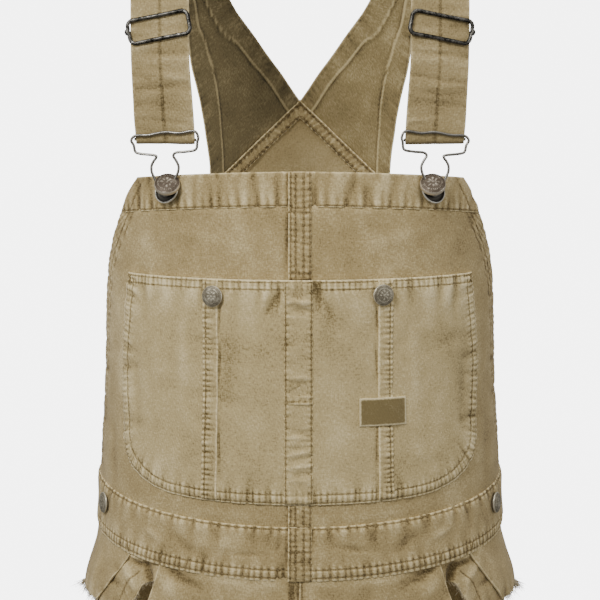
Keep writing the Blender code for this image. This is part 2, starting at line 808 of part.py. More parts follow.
def strap_line():
    """The strap's centre path, seen from the side, with its edges: front layer, fold round the bar, return.

    Gives the depth, the height, both edges' distances from the centre plane, how far the outer edge lies
    behind the inner one, and the outward normal.
    """
    table = np.array(STRAP_ROWS, dtype=float)
    run = np.concatenate([[0], np.cumsum(np.hypot(np.diff(table[:, 0]), np.diff(table[:, 1])))])
    front = np.stack([smooth(np.linspace(0, run[-1], STRAP_ROWS_DOWN), run, c) for c in table.T])
    turns = np.linspace(0, math.pi, FOLD_STEPS + 1)[1:]
    fold = np.repeat(front[:, -1:], FOLD_STEPS, axis=1)
    fold[0] += FOLD_RADIUS * (1 - np.cos(turns))
    fold[1] -= FOLD_RADIUS * np.sin(turns)
    back = front[:, front[1] < RETURN_TOP][:, ::-1][:, 1:]
    back[0] += 2 * FOLD_RADIUS
    y, z, outer, inner, lean = np.concatenate([front, fold, back], axis=1)
    ahead = np.stack([np.gradient(y), np.gradient(z)], -1)
    ahead = ahead / np.linalg.norm(ahead, axis=-1, keepdims=True)
    normal = np.stack([ahead[:, 1], -ahead[:, 0]], -1)
    return y, z, outer, inner, lean, normal


def build_straps():
    """Each strap in one piece: over the shoulder, down the chest, round the buckle bar and back up."""
    y, z, outer, inner, lean, normal = strap_line()
    share = np.linspace(0, 1, STRAP_COLUMNS)[None, :]
    for name, side in SIDES:
        x = side * (inner[:, None] + (outer - inner)[:, None] * share)
        depth = (y + normal[:, 0] * STRAP_CLOTH)[:, None] + lean[:, None] * (share - 0.5)
        height = (z + normal[:, 1] * STRAP_CLOTH)[:, None] + 0 * x
        points = np.stack([x, depth, height], -1)
        if side < 0:
            points = points[:, ::-1]
        cloth("strap_" + name, points, STRAP_CLOTH, "strap_canvas")


def strap_front(distance, height):
    """Depth of the strap's front face on the chest, at a distance from the centre plane and a height."""
    y, z, outer, inner, _, _ = strap_line()
    chest = slice(STRAP_ROWS_DOWN // 2, STRAP_ROWS_DOWN)
    middle = np.interp(-height, -z[chest], y[chest])
    line = np.interp(-height, -z[chest], 0.5 * (outer + inner)[chest])
    return middle - STRAP_CLOTH + CHEST_LEAN * (distance - line)


def wire(name, points, diameter, finish, closed=True, resolution=2):
    """A bent wire along its points."""
    curve = bpy.data.curves.new(name, "CURVE")
    curve.dimensions = "3D"
    curve.bevel_depth = diameter / 2 * MM
    curve.bevel_resolution = resolution
    curve.use_fill_caps = not closed
    spline = curve.splines.new("POLY")
    spline.points.add(len(points) - 1)
    spline.points.foreach_set("co", np.concatenate([points * MM, np.ones((len(points), 1))], 1).ravel())
    spline.use_cyclic_u = closed
    return add_object(name, curve, finish)


def rounded_rectangle(length, height, corner, corner_steps=5):
    """Points round a rectangle with round corners, in its own plane."""
    points = []
    for x_way, z_way, turn in ((1, 1, 0), (-1, 1, 90), (-1, -1, 180), (1, -1, 270)):
        for step in range(corner_steps):
            bend = math.radians(turn + 90 * step / (corner_steps - 1))
            points.append((x_way * (length / 2 - corner) + corner * math.cos(bend),
                           z_way * (height / 2 - corner) + corner * math.sin(bend)))
    return np.array(points)


def rod(name, ends, radius, finish):
    """A straight round bar between two end points."""
    start, end = [Vector(point) * MM for point in ends.tolist()]
    along = end - start
    bpy.ops.mesh.primitive_cylinder_add(vertices=10, radius=radius * MM, depth=along.length)
    item = bpy.context.object
    item.name = name
    item.data.name = name
    for collection in item.users_collection:
        collection.objects.unlink(item)
    bpy.data.collections[COLLECTION].objects.link(item)
    item.parent = bpy.data.objects["overalls"]
    item.rotation_mode = "QUATERNION"
    item.rotation_quaternion = along.to_track_quat("Z", "Y")
    item.location = (start + end) / 2
    item.data.materials.append(add_material(finish))
    item.data.shade_smooth()
    item.data.set_sharp_from_angle(angle=math.radians(40))
    return item


def build_sliders():
    """The slider ring before the strap, and its hidden bar between the strap's two layers."""
    outline = rounded_rectangle(SLIDER_LENGTH - SLIDER_WIRE, SLIDER_HEIGHT - SLIDER_WIRE, SLIDER_CORNER)
    centre_x, centre_z = SLIDER_CENTRE
    tilt = -math.radians(SLIDER_TILT)
    distance = outline[:, 0] * math.cos(tilt) - outline[:, 1] * math.sin(tilt) + centre_x
    height = outline[:, 0] * math.sin(tilt) + outline[:, 1] * math.cos(tilt) + centre_z
    depth = strap_front(distance, height) - GAP - SLIDER_WIRE / 2
    bar_distance = centre_x + np.array([-0.5, 0.5]) * BAR_LENGTH * math.cos(tilt)
    bar_height = centre_z + np.array([-0.5, 0.5]) * BAR_LENGTH * math.sin(tilt)
    bar_depth = strap_front(bar_distance, bar_height) + STRAP_CLOTH + FOLD_RADIUS
    for name, side in SIDES:
        wire("slider_" + name, np.stack([side * distance, depth, height], -1), SLIDER_WIRE, "dark_metal")
        rod("slider_bar_" + name, np.stack([side * bar_distance, bar_depth, bar_height], -1),
            BAR_RADIUS, "dark_metal")


def build_buckles():
    """The wire buckle, its route smoothed between its bends, and the bar that the strap is folded round."""
    route = np.array(BUCKLE_ROUTE, dtype=float)
    closed = np.concatenate([route[-2:], route, route[:3]])
    knots = np.arange(len(closed), dtype=float)
    steps = np.linspace(2, len(route) + 2, BUCKLE_STEPS + 1)[:-1]
    out, height, ahead = [smooth(steps, knots, c) for c in closed.T]
    depth = BUCKLE_PLANE + CHEST_LEAN * out - ahead
    bar_distance = BUCKLE_LINE + np.array([-0.5, 0.5]) * BAR_LENGTH
    bar_height = np.full(2, BUCKLE_BAR_LEVEL)
    bar_depth = strap_front(bar_distance, bar_height) + STRAP_CLOTH + FOLD_RADIUS
    for name, side in SIDES:
        wire("buckle_" + name, np.stack([side * (BUCKLE_LINE + out), depth, height], -1),
             BUCKLE_WIRE, "dark_metal", resolution=1)
        rod("buckle_bar_" + name, np.stack([side * bar_distance, bar_depth, bar_height], -1),
            BAR_RADIUS, "dark_metal")


def turned(name, profile, scale, foot, axis, finish="antique_metal"):
    """A turned piece: its profile swept round its own axis, standing on foot along axis."""
    mesh = bpy.data.meshes.new(name)
    points = [(radius * scale * MM, 0.0, height * scale * MM) for radius, height in profile]
    mesh.from_pydata(points, [(i, i + 1) for i in range(len(points) - 1)], [])
    item = add_object(name, mesh, finish)
    screw = item.modifiers.new("turn", "SCREW")
    screw.steps = BUTTON_SIDES
    screw.render_steps = BUTTON_SIDES
    screw.use_merge_vertices = True
    screw.merge_threshold = 0.00001
    screw.use_smooth_shade = True
    weld = item.modifiers.new("weld", "WELD")
    weld.merge_threshold = 0.00001
    item.rotation_mode = "QUATERNION"
    item.rotation_quaternion = Vector(axis).to_track_quat("Z", "Y")
    item.location = Vector(foot) * MM
    return item


def build_buttons():
    """The bib buttons with their bases, the pocket buttons and the side buttons."""
    angle, level = BIB_BUTTON_PLACE
    tilt = math.radians(BIB_BUTTON_TILT)
    turn = math.radians(BIB_BUTTON_TURN)
    for name, side in SIDES:
        normal = form_normal(side * angle, level)
        base = place(side * angle, level, PANEL_OUT + GAP)
        turned("bib_button_base_" + name, BIB_BUTTON_BASE, 1.0, base, normal)
        axis = (side * math.sin(turn) * math.cos(tilt), -math.cos(turn) * math.cos(tilt), math.sin(tilt))
        foot = base + normal * (BIB_BUTTON_BASE[0][1] + BUTTON_SHANK_GAP)
        turned("bib_button_" + name, BIB_BUTTON_HEAD, 1.0, foot, axis)
    for name, angle, level in POCKET_BUTTONS:
        stand = trim_stand(angle, level) + BUTTON_SEAT
        turned("pocket_button_" + name, TACK_HEAD, POCKET_BUTTON_RADIUS,
               place(angle, level, stand), form_normal(angle, level))
    for name, side in SIDES:
        angle = side * SIDE_BUTTON_ANGLE
        turned("side_button_" + name, TACK_HEAD, SIDE_BUTTON_RADIUS,
               place(angle, SIDE_BUTTON_LEVEL, WAISTBAND_OUT + BUTTON_SEAT), form_normal(angle, SIDE_BUTTON_LEVEL))


def clear_scene():
    """Remove the objects that the file opens with, and make the garment's collection and empty."""
    for item in list(bpy.data.objects):
        bpy.data.objects.remove(item, do_unlink=True)
    collection = bpy.data.collections.new(COLLECTION)
    bpy.context.scene.collection.children.link(collection)
    holder = bpy.data.objects.new("overalls", None)
    collection.objects.link(holder)


def main():
    """Build the whole garment."""
    clear_scene()
    build_bib()
    build_pocket()
    build_waist()
    build_hips()
    build_back()
    build_straps()
    build_sliders()
    build_buckles()
    build_buttons()


main()
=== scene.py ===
"""Bib overalls dressed for a close view: fine cloth, puckered seams, stitching, raw hems and metal fasteners.

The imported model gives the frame: metres, +Z up, the front faces -Y, the origin midway between the strap tops.
The tables below are in millimetres and degrees. Most cloth follows one body form, placed by an angle round
the body, 0 at the front centre and 90 at the side on +X, by a level, and by how far it stands out from
the form.
"""
import math

import bpy
import numpy as np
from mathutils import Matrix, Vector


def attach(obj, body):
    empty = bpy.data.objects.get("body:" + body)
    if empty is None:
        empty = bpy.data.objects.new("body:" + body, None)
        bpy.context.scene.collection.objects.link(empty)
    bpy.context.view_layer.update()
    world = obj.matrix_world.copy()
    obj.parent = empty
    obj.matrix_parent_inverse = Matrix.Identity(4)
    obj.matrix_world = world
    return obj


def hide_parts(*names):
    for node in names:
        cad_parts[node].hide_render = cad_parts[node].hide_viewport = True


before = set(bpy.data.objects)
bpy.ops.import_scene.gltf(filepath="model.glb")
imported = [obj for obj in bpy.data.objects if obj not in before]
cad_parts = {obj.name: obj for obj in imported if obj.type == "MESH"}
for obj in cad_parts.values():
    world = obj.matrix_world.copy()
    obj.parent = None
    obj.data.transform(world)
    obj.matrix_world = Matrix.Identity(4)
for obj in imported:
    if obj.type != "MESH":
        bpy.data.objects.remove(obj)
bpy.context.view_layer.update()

MM = 0.001
BODY = "root"
ARC = 150 * math.pi / 180
GRID_ROUNDS = 6
FIRST_LEVEL = -300.0
LAP = 4.0
SEAM_LAP = 0.12
# Cloth and trim walls, and the clearances between pieces
CLOTH = 1.6
STRAP_CLOTH = 2.0
WAISTBAND_CLOTH = 2.2
TRIM_CLOTH = 1.2
SEAM_WALL = 2.8
GAP = 0.3
HALF_GAP = GAP / 2

# How far each layer's outer face stands out from the form
PANEL_OUT = CLOTH
OVER_PANEL = PANEL_OUT + GAP
POCKET_OUT = OVER_PANEL + CLOTH
WAISTBAND_OUT = OVER_PANEL + WAISTBAND_CLOTH
FACING_OUT = -2 * GAP

# Half the steps over which the form's slopes are taken
SLOPE_TURN = 0.2
SLOPE_LEVEL = 0.5

# The body form
BODY_RINGS = (
    # level, half_width, front_depth, back_depth
    (-60, 150.0, 97.0, 86.0),
    (-90, 150.0, 100.0, 92.0),
    (-170, 148.5, 107.0, 103.0),
    (-215, 147.2, 110.0, 107.0),
    (-300, 148.3, 116.0, 111.0),
    (-360, 148.3, 119.0, 112.0),
    (-400, 149.6, 120.4, 112.7),
    (-430, 151.2, 121.2, 113.5),
    (-475, 152.6, 121.5, 117.0),
    (-495, 154.0, 121.8, 119.5),
    (-512, 158.0, 122.3, 122.0),
    (-526, 162.0, 122.9, 124.5),
    (-545, 165.0, 123.4, 127.5),
    (-560, 166.5, 123.5, 130.0),
    (-600, 169.5, 122.0, 136.0),
    (-650, 170.5, 119.0, 137.0),
    (-700, 168.0, 115.0, 131.0),
    (-745, 164.0, 111.0, 122.0),
)

# Below the rise level the form parts into two legs: the centre seam falls in a quarter of an ellipse
RISE_LEVEL = -590.0
RISE_DROP = 148.0
RISE_WALK = 210.0
RISE_SPREAD = 24.0
LEG_CENTRE = 84.0
LEG_HALF_WIDTH = 83.7
LEG_PARTING = 0.16
LEG_FRONT = 94.0
LEG_BACK = 106.0

# Bib
BIB_TOP_CENTRE = -214.6
BIB_TOP_DROP = 7.2
BIB_TOP_CORNER = 54.0
BIB_TOP_BEND = 1.7
TOP_BAND_HEIGHT = 25.5
BIB_INSET = 0.1
BIB_EDGE = (
    # level, angle
    (-205, 51.0),
    (-221.7, 53.9),
    (-231.7, 57.9),
    (-246.4, 62.5),
    (-259.7, 66.8),
    (-276.3, 71.6),
    (-291.7, 74.9),
    (-310, 77.4),
    (-343, 79.6),
    (-380, 81.6),
    (-415, 84.0),
    (-449, 88.0),
    (-470, 89.8),
    (-520, 89.8),
)

# Waistband: both edges rise from the front centre towards the sides
WAIST_TOP = -471.3
WAIST_SEAM = -492.0
WAIST_BOTTOM = -511.7
WAIST_RISE = 22.5
WAIST_RISE_ENDS = -620.0
SIDE_SEAM = 90.0
WAIST_SIDE_GAP = 0.06
CENTRE_STRIP = (-3.2, 3.1)

# Pocket on the bib
POCKET_TOP = -292.0
POCKET_SIDE = (
    # level, angle
    (-285, 57.3),
    (-292, 57.7),
    (-324, 59.8),
    (-361, 61.6),
    (-391, 60.4),
    (-425, 59.3),
)
POCKET_BOTTOM = (
    # share of the half width, level
    (0.00, -455.4),
    (0.40, -454.2),
    (0.62, -451.8),
    (0.78, -446.5),
    (0.90, -438.0),
    (0.965, -429.0),
    (1.00, -417.0),
)
POCKET_FULLNESS = 2.2
POCKET_SEWN_FULLNESS = 0.25
POCKET_OPEN_DEPTH = 110.0
POCKET_CORNER = 57.0
POCKET_STRIPS = (
    # name, angle from, angle to
    ("left", -27.6, -23.0),
    ("right", 21.8, 26.2),
)
POCKET_BAND = (-4.2, 3.4)
STRIP_TOP_INSET = 1.0
STRIP_FOOT_INSET = 1.2
STRIP_END_INSET = 0.4
LABEL_ANGLES = (16.3, 30.3)
LABEL_LEVELS = (-377.8, -398.4)
LABEL_STEP = 3.2
LABEL_EASE = 0.4

# Hip: the front panel's free pocket edge, the facing behind it, the side piece and the leg openings
MOUTH_EDGE = (
    # level, distance from the centre plane
    (-480, 97.0),
    (-504, 102.5),
    (-533, 111.8),
    (-560, 121.0),
    (-590, 131.0),
    (-625, 140.5),
    (-665, 147.5),
    (-705, 149.5),
)
FRONT_HEM = (
    # angle, level
    (0, -836.0),
    (20, -836.0),
    (34, -829.0),
    (45, -808.0),
    (53, -774.0),
    (59, -734.0),
    (64, -700.0),
)
FACING_ANGLES = (37.0, 71.0)
FACING_HEM = (
    # angle, level
    (34, -517.0),
    (44, -519.5),
    (46.4, -523.0),
    (49.2, -535.5),
    (53, -543.0),
    (60, -549.0),
    (72, -552.0),
)
SIDE_PIECE_FRONT = (
    # level, angle
    (-470, 50.0),
    (-502, 54.0),
    (-527.6, 61.7),
    (-544.5, 68.2),
    (-560, 73.0),
)
SIDE_PIECE_BACK = 117.89
SIDE_PIECE_HEM = (
    # angle, level
    (60, -541.0),
    (68, -543.5),
    (78, -541.5),
    (90, -538.5),
    (105, -545.0),
    (118, -553.0),
)
SEAT_SIDE = (
    # level, angle
    (-480, 118.11),
    (-552, 118.11),
    (-575, 118.5),
    (-620, 119.8),
    (-665, 122.0),
    (-705, 125.6),
    (-740, 131.0),
)
SEAT_HEM = (
    # angle, level
    (128, -736.0),
    (134, -774.0),
    (142, -808.0),
    (152, -829.0),
    (165, -836.0),
    (180, -836.0),
)

# Back panel, the diagonal seams over it, and the wings that carry the straps
DIAGONAL_APEX = -179.5
DIAGONAL_WIDTH_LEVEL = -215.0
DIAGONAL_SLOPE = 0.96
DIAGONAL_HALF_HEIGHT = 7.4
DIAGONAL_ENDS = (-0.45, 28.9)
BACK_EDGE = (
    # level, angle
    (-225, 150.8),
    (-247, 151.2),
    (-272, 150.0),
    (-302, 146.0),
    (-337, 139.0),
    (-372, 129.0),
    (-405, 117.0),
    (-432, 105.0),
    (-449, 93.5),
    (-460, 90.2),
    (-520, 90.2),
)
WING_ROWS = (
    # outer x, y, z, inner x, y, z, hug: 1 lies on the body form, 0 runs straight between its ends
    (71.2, 94, -238.6, 0.3, 103, -170.5, 1.0),
    (71.9, 94, -222.0, 9.5, 103, -158.6, 1.0),
    (74.4, 92, -203.0, 18.0, 101, -147.0, 1.0),
    (77.2, 89, -183.3, 27.0, 98, -134.5, 1.0),
    (81.2, 85, -163.0, 36.2, 93.5, -121.0, 1.0),
    (85.4, 81.5, -145.0, 43.5, 91.0, -111.0, 1.0),
    (88.6, 78.5, -118.0, 50.5, 88.5, -101.0, 0.8),
    (91.8, 73.0, -92.0, 57.0, 84.0, -88.0, 0.5),
    (100.5, 62.0, -62.0, 63.5, 72.0, -62.0, 0.15),
    (110.5, 46.5, -32.5, 71.5, 53.5, -34.0, 0.0),
    (118.5, 28.4, -10.5, 77.5, 29.0, -10.6, 0.0),
)

# Shoulder straps: the front layer, from the wing over the shoulder and down to the buckle
STRAP_ROWS = (
    # y, z, outer x, inner x, how far the outer edge lies behind the inner one
    (28.0, -10.1, 118.8, 77.8, 0.0),
    (14.0, -2.6, 121.8, 79.4, 0.0),
    (0.0, 0.0, 123.0, 80.2, 0.8),
    (-15.0, -2.2, 123.5, 80.6, 2.2),
    (-34.0, -12.5, 123.6, 80.7, 4.5),
    (-54.0, -34.0, 123.5, 80.6, 7.0),
    (-70.0, -64.0, 123.1, 80.3, 9.0),
    (-80.0, -95.5, 122.8, 80.1, 9.2),
    (-85.5, -132.0, 122.4, 79.9, 9.2),
    (-87.3, -160.0, 121.2, 78.0, 9.2),
    (-88.0, -180.0, 120.2, 76.6, 9.1),
    (-88.2, -193.0, 119.0, 76.0, 9.1),
)
CHEST_LEAN = 0.212
FOLD_RADIUS = 1.65
RETURN_TOP = -109.0
STRAP_WIDTH = 42.8
STRAP_SAMPLES = 220

# Slider and buckle
SLIDER_WIRE = 2.9
SLIDER_LENGTH = 47.5
SLIDER_HEIGHT = 19.8
SLIDER_CORNER = 5.0
SLIDER_CENTRE = (101.9, -111.9)
SLIDER_TILT = 11.3
BAR_RADIUS = 1.1
BAR_LENGTH = 45.0
BUCKLE_WIRE_RADIUS = 0.98
BUCKLE_BAR_LEVEL = -193.0
BUCKLE_ROUTE = (
    # distance out from the strap's line, height, depth in front of the buckle's plane
    (21.4, -190.2, -0.2),
    (12.0, -189.6, -0.2),
    (0.0, -187.4, -0.2),
    (-10.0, -187.9, -0.2),
    (-21.2, -186.4, -0.2),
    (-24.3, -190.4, 0.0),
    (-23.7, -194.4, 0.0),
    (-22.6, -199.6, 0.0),
    (-16.0, -201.2, 0.1),
    (-8.4, -202.0, 0.2),
    (-6.2, -204.4, 0.2),
    (-8.4, -208.2, 0.2),
    (-10.0, -212.2, 0.2),
    (-9.3, -216.8, 0.1),
    (-7.2, -221.0, 0.0),
    (-5.6, -226.0, -0.1),
    (-4.4, -230.6, -0.2),
    (0.0, -233.4, -0.4),
    (4.4, -230.6, -0.2),
    (5.8, -226.0, -0.1),
    (7.6, -221.0, 0.0),
    (9.6, -216.8, 0.1),
    (9.9, -212.4, 0.2),
    (8.6, -209.0, 0.2),
    (6.4, -205.8, 0.2),
    (7.6, -204.2, 0.2),
    (18.0, -203.2, 0.1),
    (21.6, -201.8, 0.0),
    (22.8, -197.2, 0.0),
    (24.6, -193.6, 0.0),
)
BUCKLE_LINE = 97.7
BUCKLE_PLANE = -91.7

# Buttons: turned profiles as radius and height, from the crown down to the foot
BIB_BUTTON_PLACE = (40.0, -230.2)
BIB_BUTTON_TILT = 44.0
BIB_BUTTON_TURN = 2.0
BIB_BUTTON_FOOT = 1.4
BIB_BUTTON_SHIFT = (-0.6, 0.0, -0.8)
BIB_BASE_LIFT = 1.1
BIB_BASE_LEAN = 0.34
BIB_HEAD = (
    # radius, height
    (0.0, 11.7),
    (3.6, 11.55),
    (6.6, 11.0),
    (8.2, 10.4),
    (8.7, 10.3),
    (9.25, 9.9),
    (9.4, 9.2),
    (9.4, 7.5),
    (9.1, 6.6),
    (8.4, 6.2),
    (4.0, 6.0),
    (3.2, 5.5),
    (3.0, 0.4),
    (0.0, 0.0),
)
BIB_BASE = (
    # radius, height
    (0.0, 0.3),
    (3.4, 0.3),
    (7.8, 0.4),
    (8.9, 1.7),
    (9.5, 2.0),
    (10.0, 1.5),
    (10.0, 0.4),
    (9.3, 0.0),
    (0.0, 0.0),
)
TACK_HEAD = (
    # radius, height, for a head of radius 1
    (0.00, 0.37),
    (0.34, 0.36),
    (0.64, 0.31),
    (0.86, 0.25),
    (0.97, 0.18),
    (1.00, 0.11),
    (0.94, 0.03),
    (0.86, 0.00),
    (0.00, 0.00),
)
POCKET_BUTTONS = (
    # name, angle, level
    ("left", -24.2, -304.6),
    ("right", 22.9, -303.6),
)
POCKET_BUTTON_RADIUS = 7.9
SIDE_BUTTON_ANGLE = 70.8
SIDE_BUTTON_LEVEL = -470.0
SIDE_BUTTON_RADIUS = 8.0
BUTTON_SEAT = 0.35

# Large soft folds of the worn cloth, as troughs and ridges of the form
FOLDS = (
    # angle, level, along the angle, along the level, height, slant
    (-24, -537, 11.0, 12.0, -2.0, -0.25),
    (-10, -556, 14.0, 13.0, 1.4, 0.20),
    (25, -538, 11.0, 12.0, -1.9, 0.25),
    (12, -558, 13.0, 13.0, 1.3, -0.20),
    (-44, -350, 9.0, 40.0, 1.3, 0.05),
    (46, -345, 9.0, 42.0, 1.2, -0.05),
    (0, -340, 12.0, 50.0, 0.8, 0.00),
    (-80, -530, 9.0, 16.0, 1.6, 0.10),
    (80, -530, 9.0, 16.0, 1.6, -0.10),
    (150, -560, 10.0, 30.0, 1.8, -0.20),
    (-152, -562, 10.0, 30.0, 1.7, 0.20),
    (166, -610, 9.0, 34.0, -1.6, 0.10),
    (-165, -606, 9.0, 34.0, -1.6, -0.10),
    (128, -430, 16.0, 10.0, -1.4, 0.20),
    (-130, -428, 16.0, 10.0, -1.4, -0.20),
    (172, -330, 18.0, 26.0, -1.2, 0.10),
)


def columns(table):
    """The columns of a table of numbers, each sorted so that the first one rises."""
    rows = np.array(table, dtype=float)
    return rows[np.argsort(rows[:, 0])].T


def smooth(value, knots, samples):
    """A cubic Hermite curve through the samples that never overshoots them, level outside them.

    The slope at an inner sample is the harmonic mean of the two chords beside it, or 0 where they turn.
    """
    value = np.clip(np.asarray(value, dtype=float), knots[0], knots[-1])
    chords = np.diff(samples) / np.diff(knots)
    before, after = chords[:-1], chords[1:]
    same_way = before * after > 0
    total = np.where(same_way, before + after, 1.0)
    inner_slopes = np.where(same_way, 2 * before * after / total, 0.0)
    slopes = np.concatenate([chords[:1], inner_slopes, chords[-1:]])
    index = np.clip(np.searchsorted(knots, value, side="right") - 1, 0, len(knots) - 2)
    width = knots[index + 1] - knots[index]
    t = (value - knots[index]) / width
    start = (1 + 2 * t) * (1 - t) ** 2 * samples[index] + t * (1 - t) ** 2 * width * slopes[index]
    end = t * t * (3 - 2 * t) * samples[index + 1] + t * t * (t - 1) * width * slopes[index + 1]
    return start + end


def read(table, value, name=1):
    """One named column of a table, read smoothly at a value of its first column."""
    data = columns(table)
    return smooth(value, data[0], data[name])


def ease(value):
    """The step that rises from 0 to 1 with level ends."""
    value = np.clip(value, 0.0, 1.0)
    return value * value * (3 - 2 * value)


def folds(angle, level):
    """The sum of the soft folds: each is a bell across and along, leaning by its slant."""
    height = 0.0
    for fold_angle, fold_level, across, along, lift, slant in FOLDS:
        turn = (angle - fold_angle - slant * (level - fold_level)) / across
        drop = (level - fold_level) / along
        height = height + lift * np.exp(-turn * turn - drop * drop)
    return height


def half_form(turn, level):
    """Points of the +X half of the form; turn runs from 0 at the front centre to 180 behind.

    Each level of the body is half an ellipse before and half behind. Each level of a leg is a whole ellipse,
    walked from the inside of the leg, round its front, side and back, and again to the inside. Between the
    rise level and the crotch the one passes into the other, first and furthest at the centre seam.
    """
    walk = np.clip((RISE_LEVEL - level) / RISE_WALK, 0.0, 1.0)
    quarter = walk * math.pi / 2
    past = np.minimum(level - (RISE_LEVEL - RISE_WALK), 0.0)
    height = np.where(level < RISE_LEVEL, RISE_LEVEL - RISE_DROP * np.sin(quarter) + past, level)
    front = turn < 90
    body_turn = np.radians(turn)
    depth = np.where(front, read(BODY_RINGS, height, 2), read(BODY_RINGS, height, 3))
    body_x = read(BODY_RINGS, height, 1) * np.sin(body_turn)
    body_y = -depth * np.cos(body_turn)
    leg_turn = np.radians(2 * turn - 90)
    leg_x = LEG_CENTRE - LEG_PARTING * past + LEG_HALF_WIDTH * np.sin(leg_turn)
    leg_y = -np.where(front, LEG_FRONT, LEG_BACK) * np.cos(leg_turn)
    from_centre = np.minimum(np.abs(turn), np.abs(180 - turn)) / RISE_SPREAD
    centre = np.exp(-from_centre ** 2)
    share = centre * (1 - np.cos(quarter)) + (1 - centre) * ease(np.sin(quarter))
    return np.stack([body_x + (leg_x - body_x) * share, body_y + (leg_y - body_y) * share, height], axis=-1)


def halves(angle, level):
    """The turn on the +X half and the side's sign for any angle."""
    angle, level = np.broadcast_arrays(np.asarray(angle, dtype=float), np.asarray(level, dtype=float))
    folded = np.mod(angle, 360.0)
    side = np.where(folded <= 180.0, 1.0, -1.0)
    return np.where(side > 0, folded, 360.0 - folded), side, level


def form_point(angle, level):
    """Points of the form on either side."""
    turn, side, level = halves(angle, level)
    point = half_form(turn, level)
    point[..., 0] *= side
    return point


def form_normal(angle, level):
    """The form's outward normal, from its slopes along the turn and along the level."""
    turn, side, level = halves(angle, level)
    around = half_form(turn + SLOPE_TURN, level) - half_form(turn - SLOPE_TURN, level)
    up = half_form(turn, level + SLOPE_LEVEL) - half_form(turn, level - SLOPE_LEVEL)
    normal = np.cross(around, up)
    normal = normal / np.linalg.norm(normal, axis=-1, keepdims=True)
    normal[..., 0] *= side
    return normal


def place(angle, level, out=0.0):
    """Points at an angle and a level, standing out from the folded form.

    Below the rise level they stay on their own side of the centre plane.
    """
    lift = np.asarray(out + folds(angle, level), dtype=float)
    point = form_point(angle, level) + form_normal(angle, level) * lift[..., None]
    _, side, level = halves(angle, level)
    reach = point[..., 0] * side
    point[..., 0] = side * np.where(level < RISE_LEVEL, np.maximum(reach, 0.0), reach)
    return point


def waist_level(angle, level):
    """A level that runs with the waistband: it rises towards the sides, less and less below the waist."""
    share = ease((level - WAIST_RISE_ENDS) / (WAIST_BOTTOM - WAIST_RISE_ENDS))
    return level + WAIST_RISE * (1 - np.cos(np.radians(np.clip(np.abs(angle), 0, 90)))) * share


def angle_at(distance, level, behind=False):
    """The angle at which the body is this far from the centre plane."""
    turn = np.degrees(np.arcsin(np.clip(distance / read(BODY_RINGS, level, 1), -1, 1)))
    return 180.0 - turn if behind else turn


def sheet_grid(start, end, top, bottom, down, across):
    """Angles and levels of a panel's grid at shares down and across.

    start and end give the angle of its two upright edges at a level, top and bottom give the level of its
    two cross edges at an angle. Levels and angles are settled against each other in a few rounds.
    """
    down, across = down[:, None], across[None, :]
    angle = np.full((down.size, across.size), 0.5 * (start(FIRST_LEVEL) + end(FIRST_LEVEL)))
    for _ in range(GRID_ROUNDS):
        level = top(angle) + (bottom(angle) - top(angle)) * down
        first = start(level[:, :1])
        last = end(level[:, -1:])
        angle = first + (last - first) * across
    return angle, level


def constant(value):
    """An edge that stays at one angle or one level."""
    return lambda other: np.zeros_like(np.asarray(other, dtype=float)) + value


def mirrored(side, first, last):
    """The start and end edges of a piece on one side; on -X they swap places and change sign."""
    if side > 0:
        return first, last
    return (lambda level: -last(level)), (lambda level: -first(level))


SIDES = (
    # name, sign of x
    ("left", -1),
    ("right", 1),
)


def bib_top(angle):
    """Level of the bib's top edge, which drops towards the corners."""
    return BIB_TOP_CENTRE - BIB_TOP_DROP * (np.abs(angle) / BIB_TOP_CORNER) ** BIB_TOP_BEND


def seam_gap_angle(level):
    """Half a seam's gap at the centre plane, as an angle."""
    return angle_at(HALF_GAP, level)


def waist_line(level):
    """A cross edge that runs with the waistband through this level at the front centre."""
    return lambda angle: waist_level(angle, level)


def from_table(table, shift=0.0):
    """An upright edge's angle at a level, read from a table of the +X side."""
    return lambda level: read(table, level) + shift


def hem_from(table):
    """A cross edge's level at an angle, read from a table that holds for both sides."""
    return lambda angle: read(table, np.abs(angle))


def pocket_bottom(angle):
    """Level of the pocket's bottom edge, rounded at the corners."""
    share = np.abs(angle) / read(POCKET_SIDE, POCKET_SIDE[-1][0])
    return read(POCKET_BOTTOM, np.clip(share, 0, 1))


def pocket_stand(angle, level):
    """The pocket's outer face: it stands away from the bib along its open top, between its corners."""
    open_top = 1 - ease((POCKET_TOP - level) / POCKET_OPEN_DEPTH)
    across = np.clip(angle, -POCKET_CORNER, POCKET_CORNER) / POCKET_CORNER
    between = np.cos(across * math.pi / 2) ** 2
    share = POCKET_SEWN_FULLNESS + (1 - POCKET_SEWN_FULLNESS) * open_top
    return POCKET_OUT + POCKET_FULLNESS * share * between


def trim_stand(angle, level):
    """The outer face of what is sewn flat on the pocket."""
    return pocket_stand(angle, level) + GAP + TRIM_CLOTH


def diagonal(angle, offset):
    """Level of the diagonal seam's line behind, shifted up or down."""
    distance = read(BODY_RINGS, DIAGONAL_WIDTH_LEVEL, 1) * np.abs(np.sin(np.radians(angle)))
    return DIAGONAL_APEX - DIAGONAL_SLOPE * distance + offset


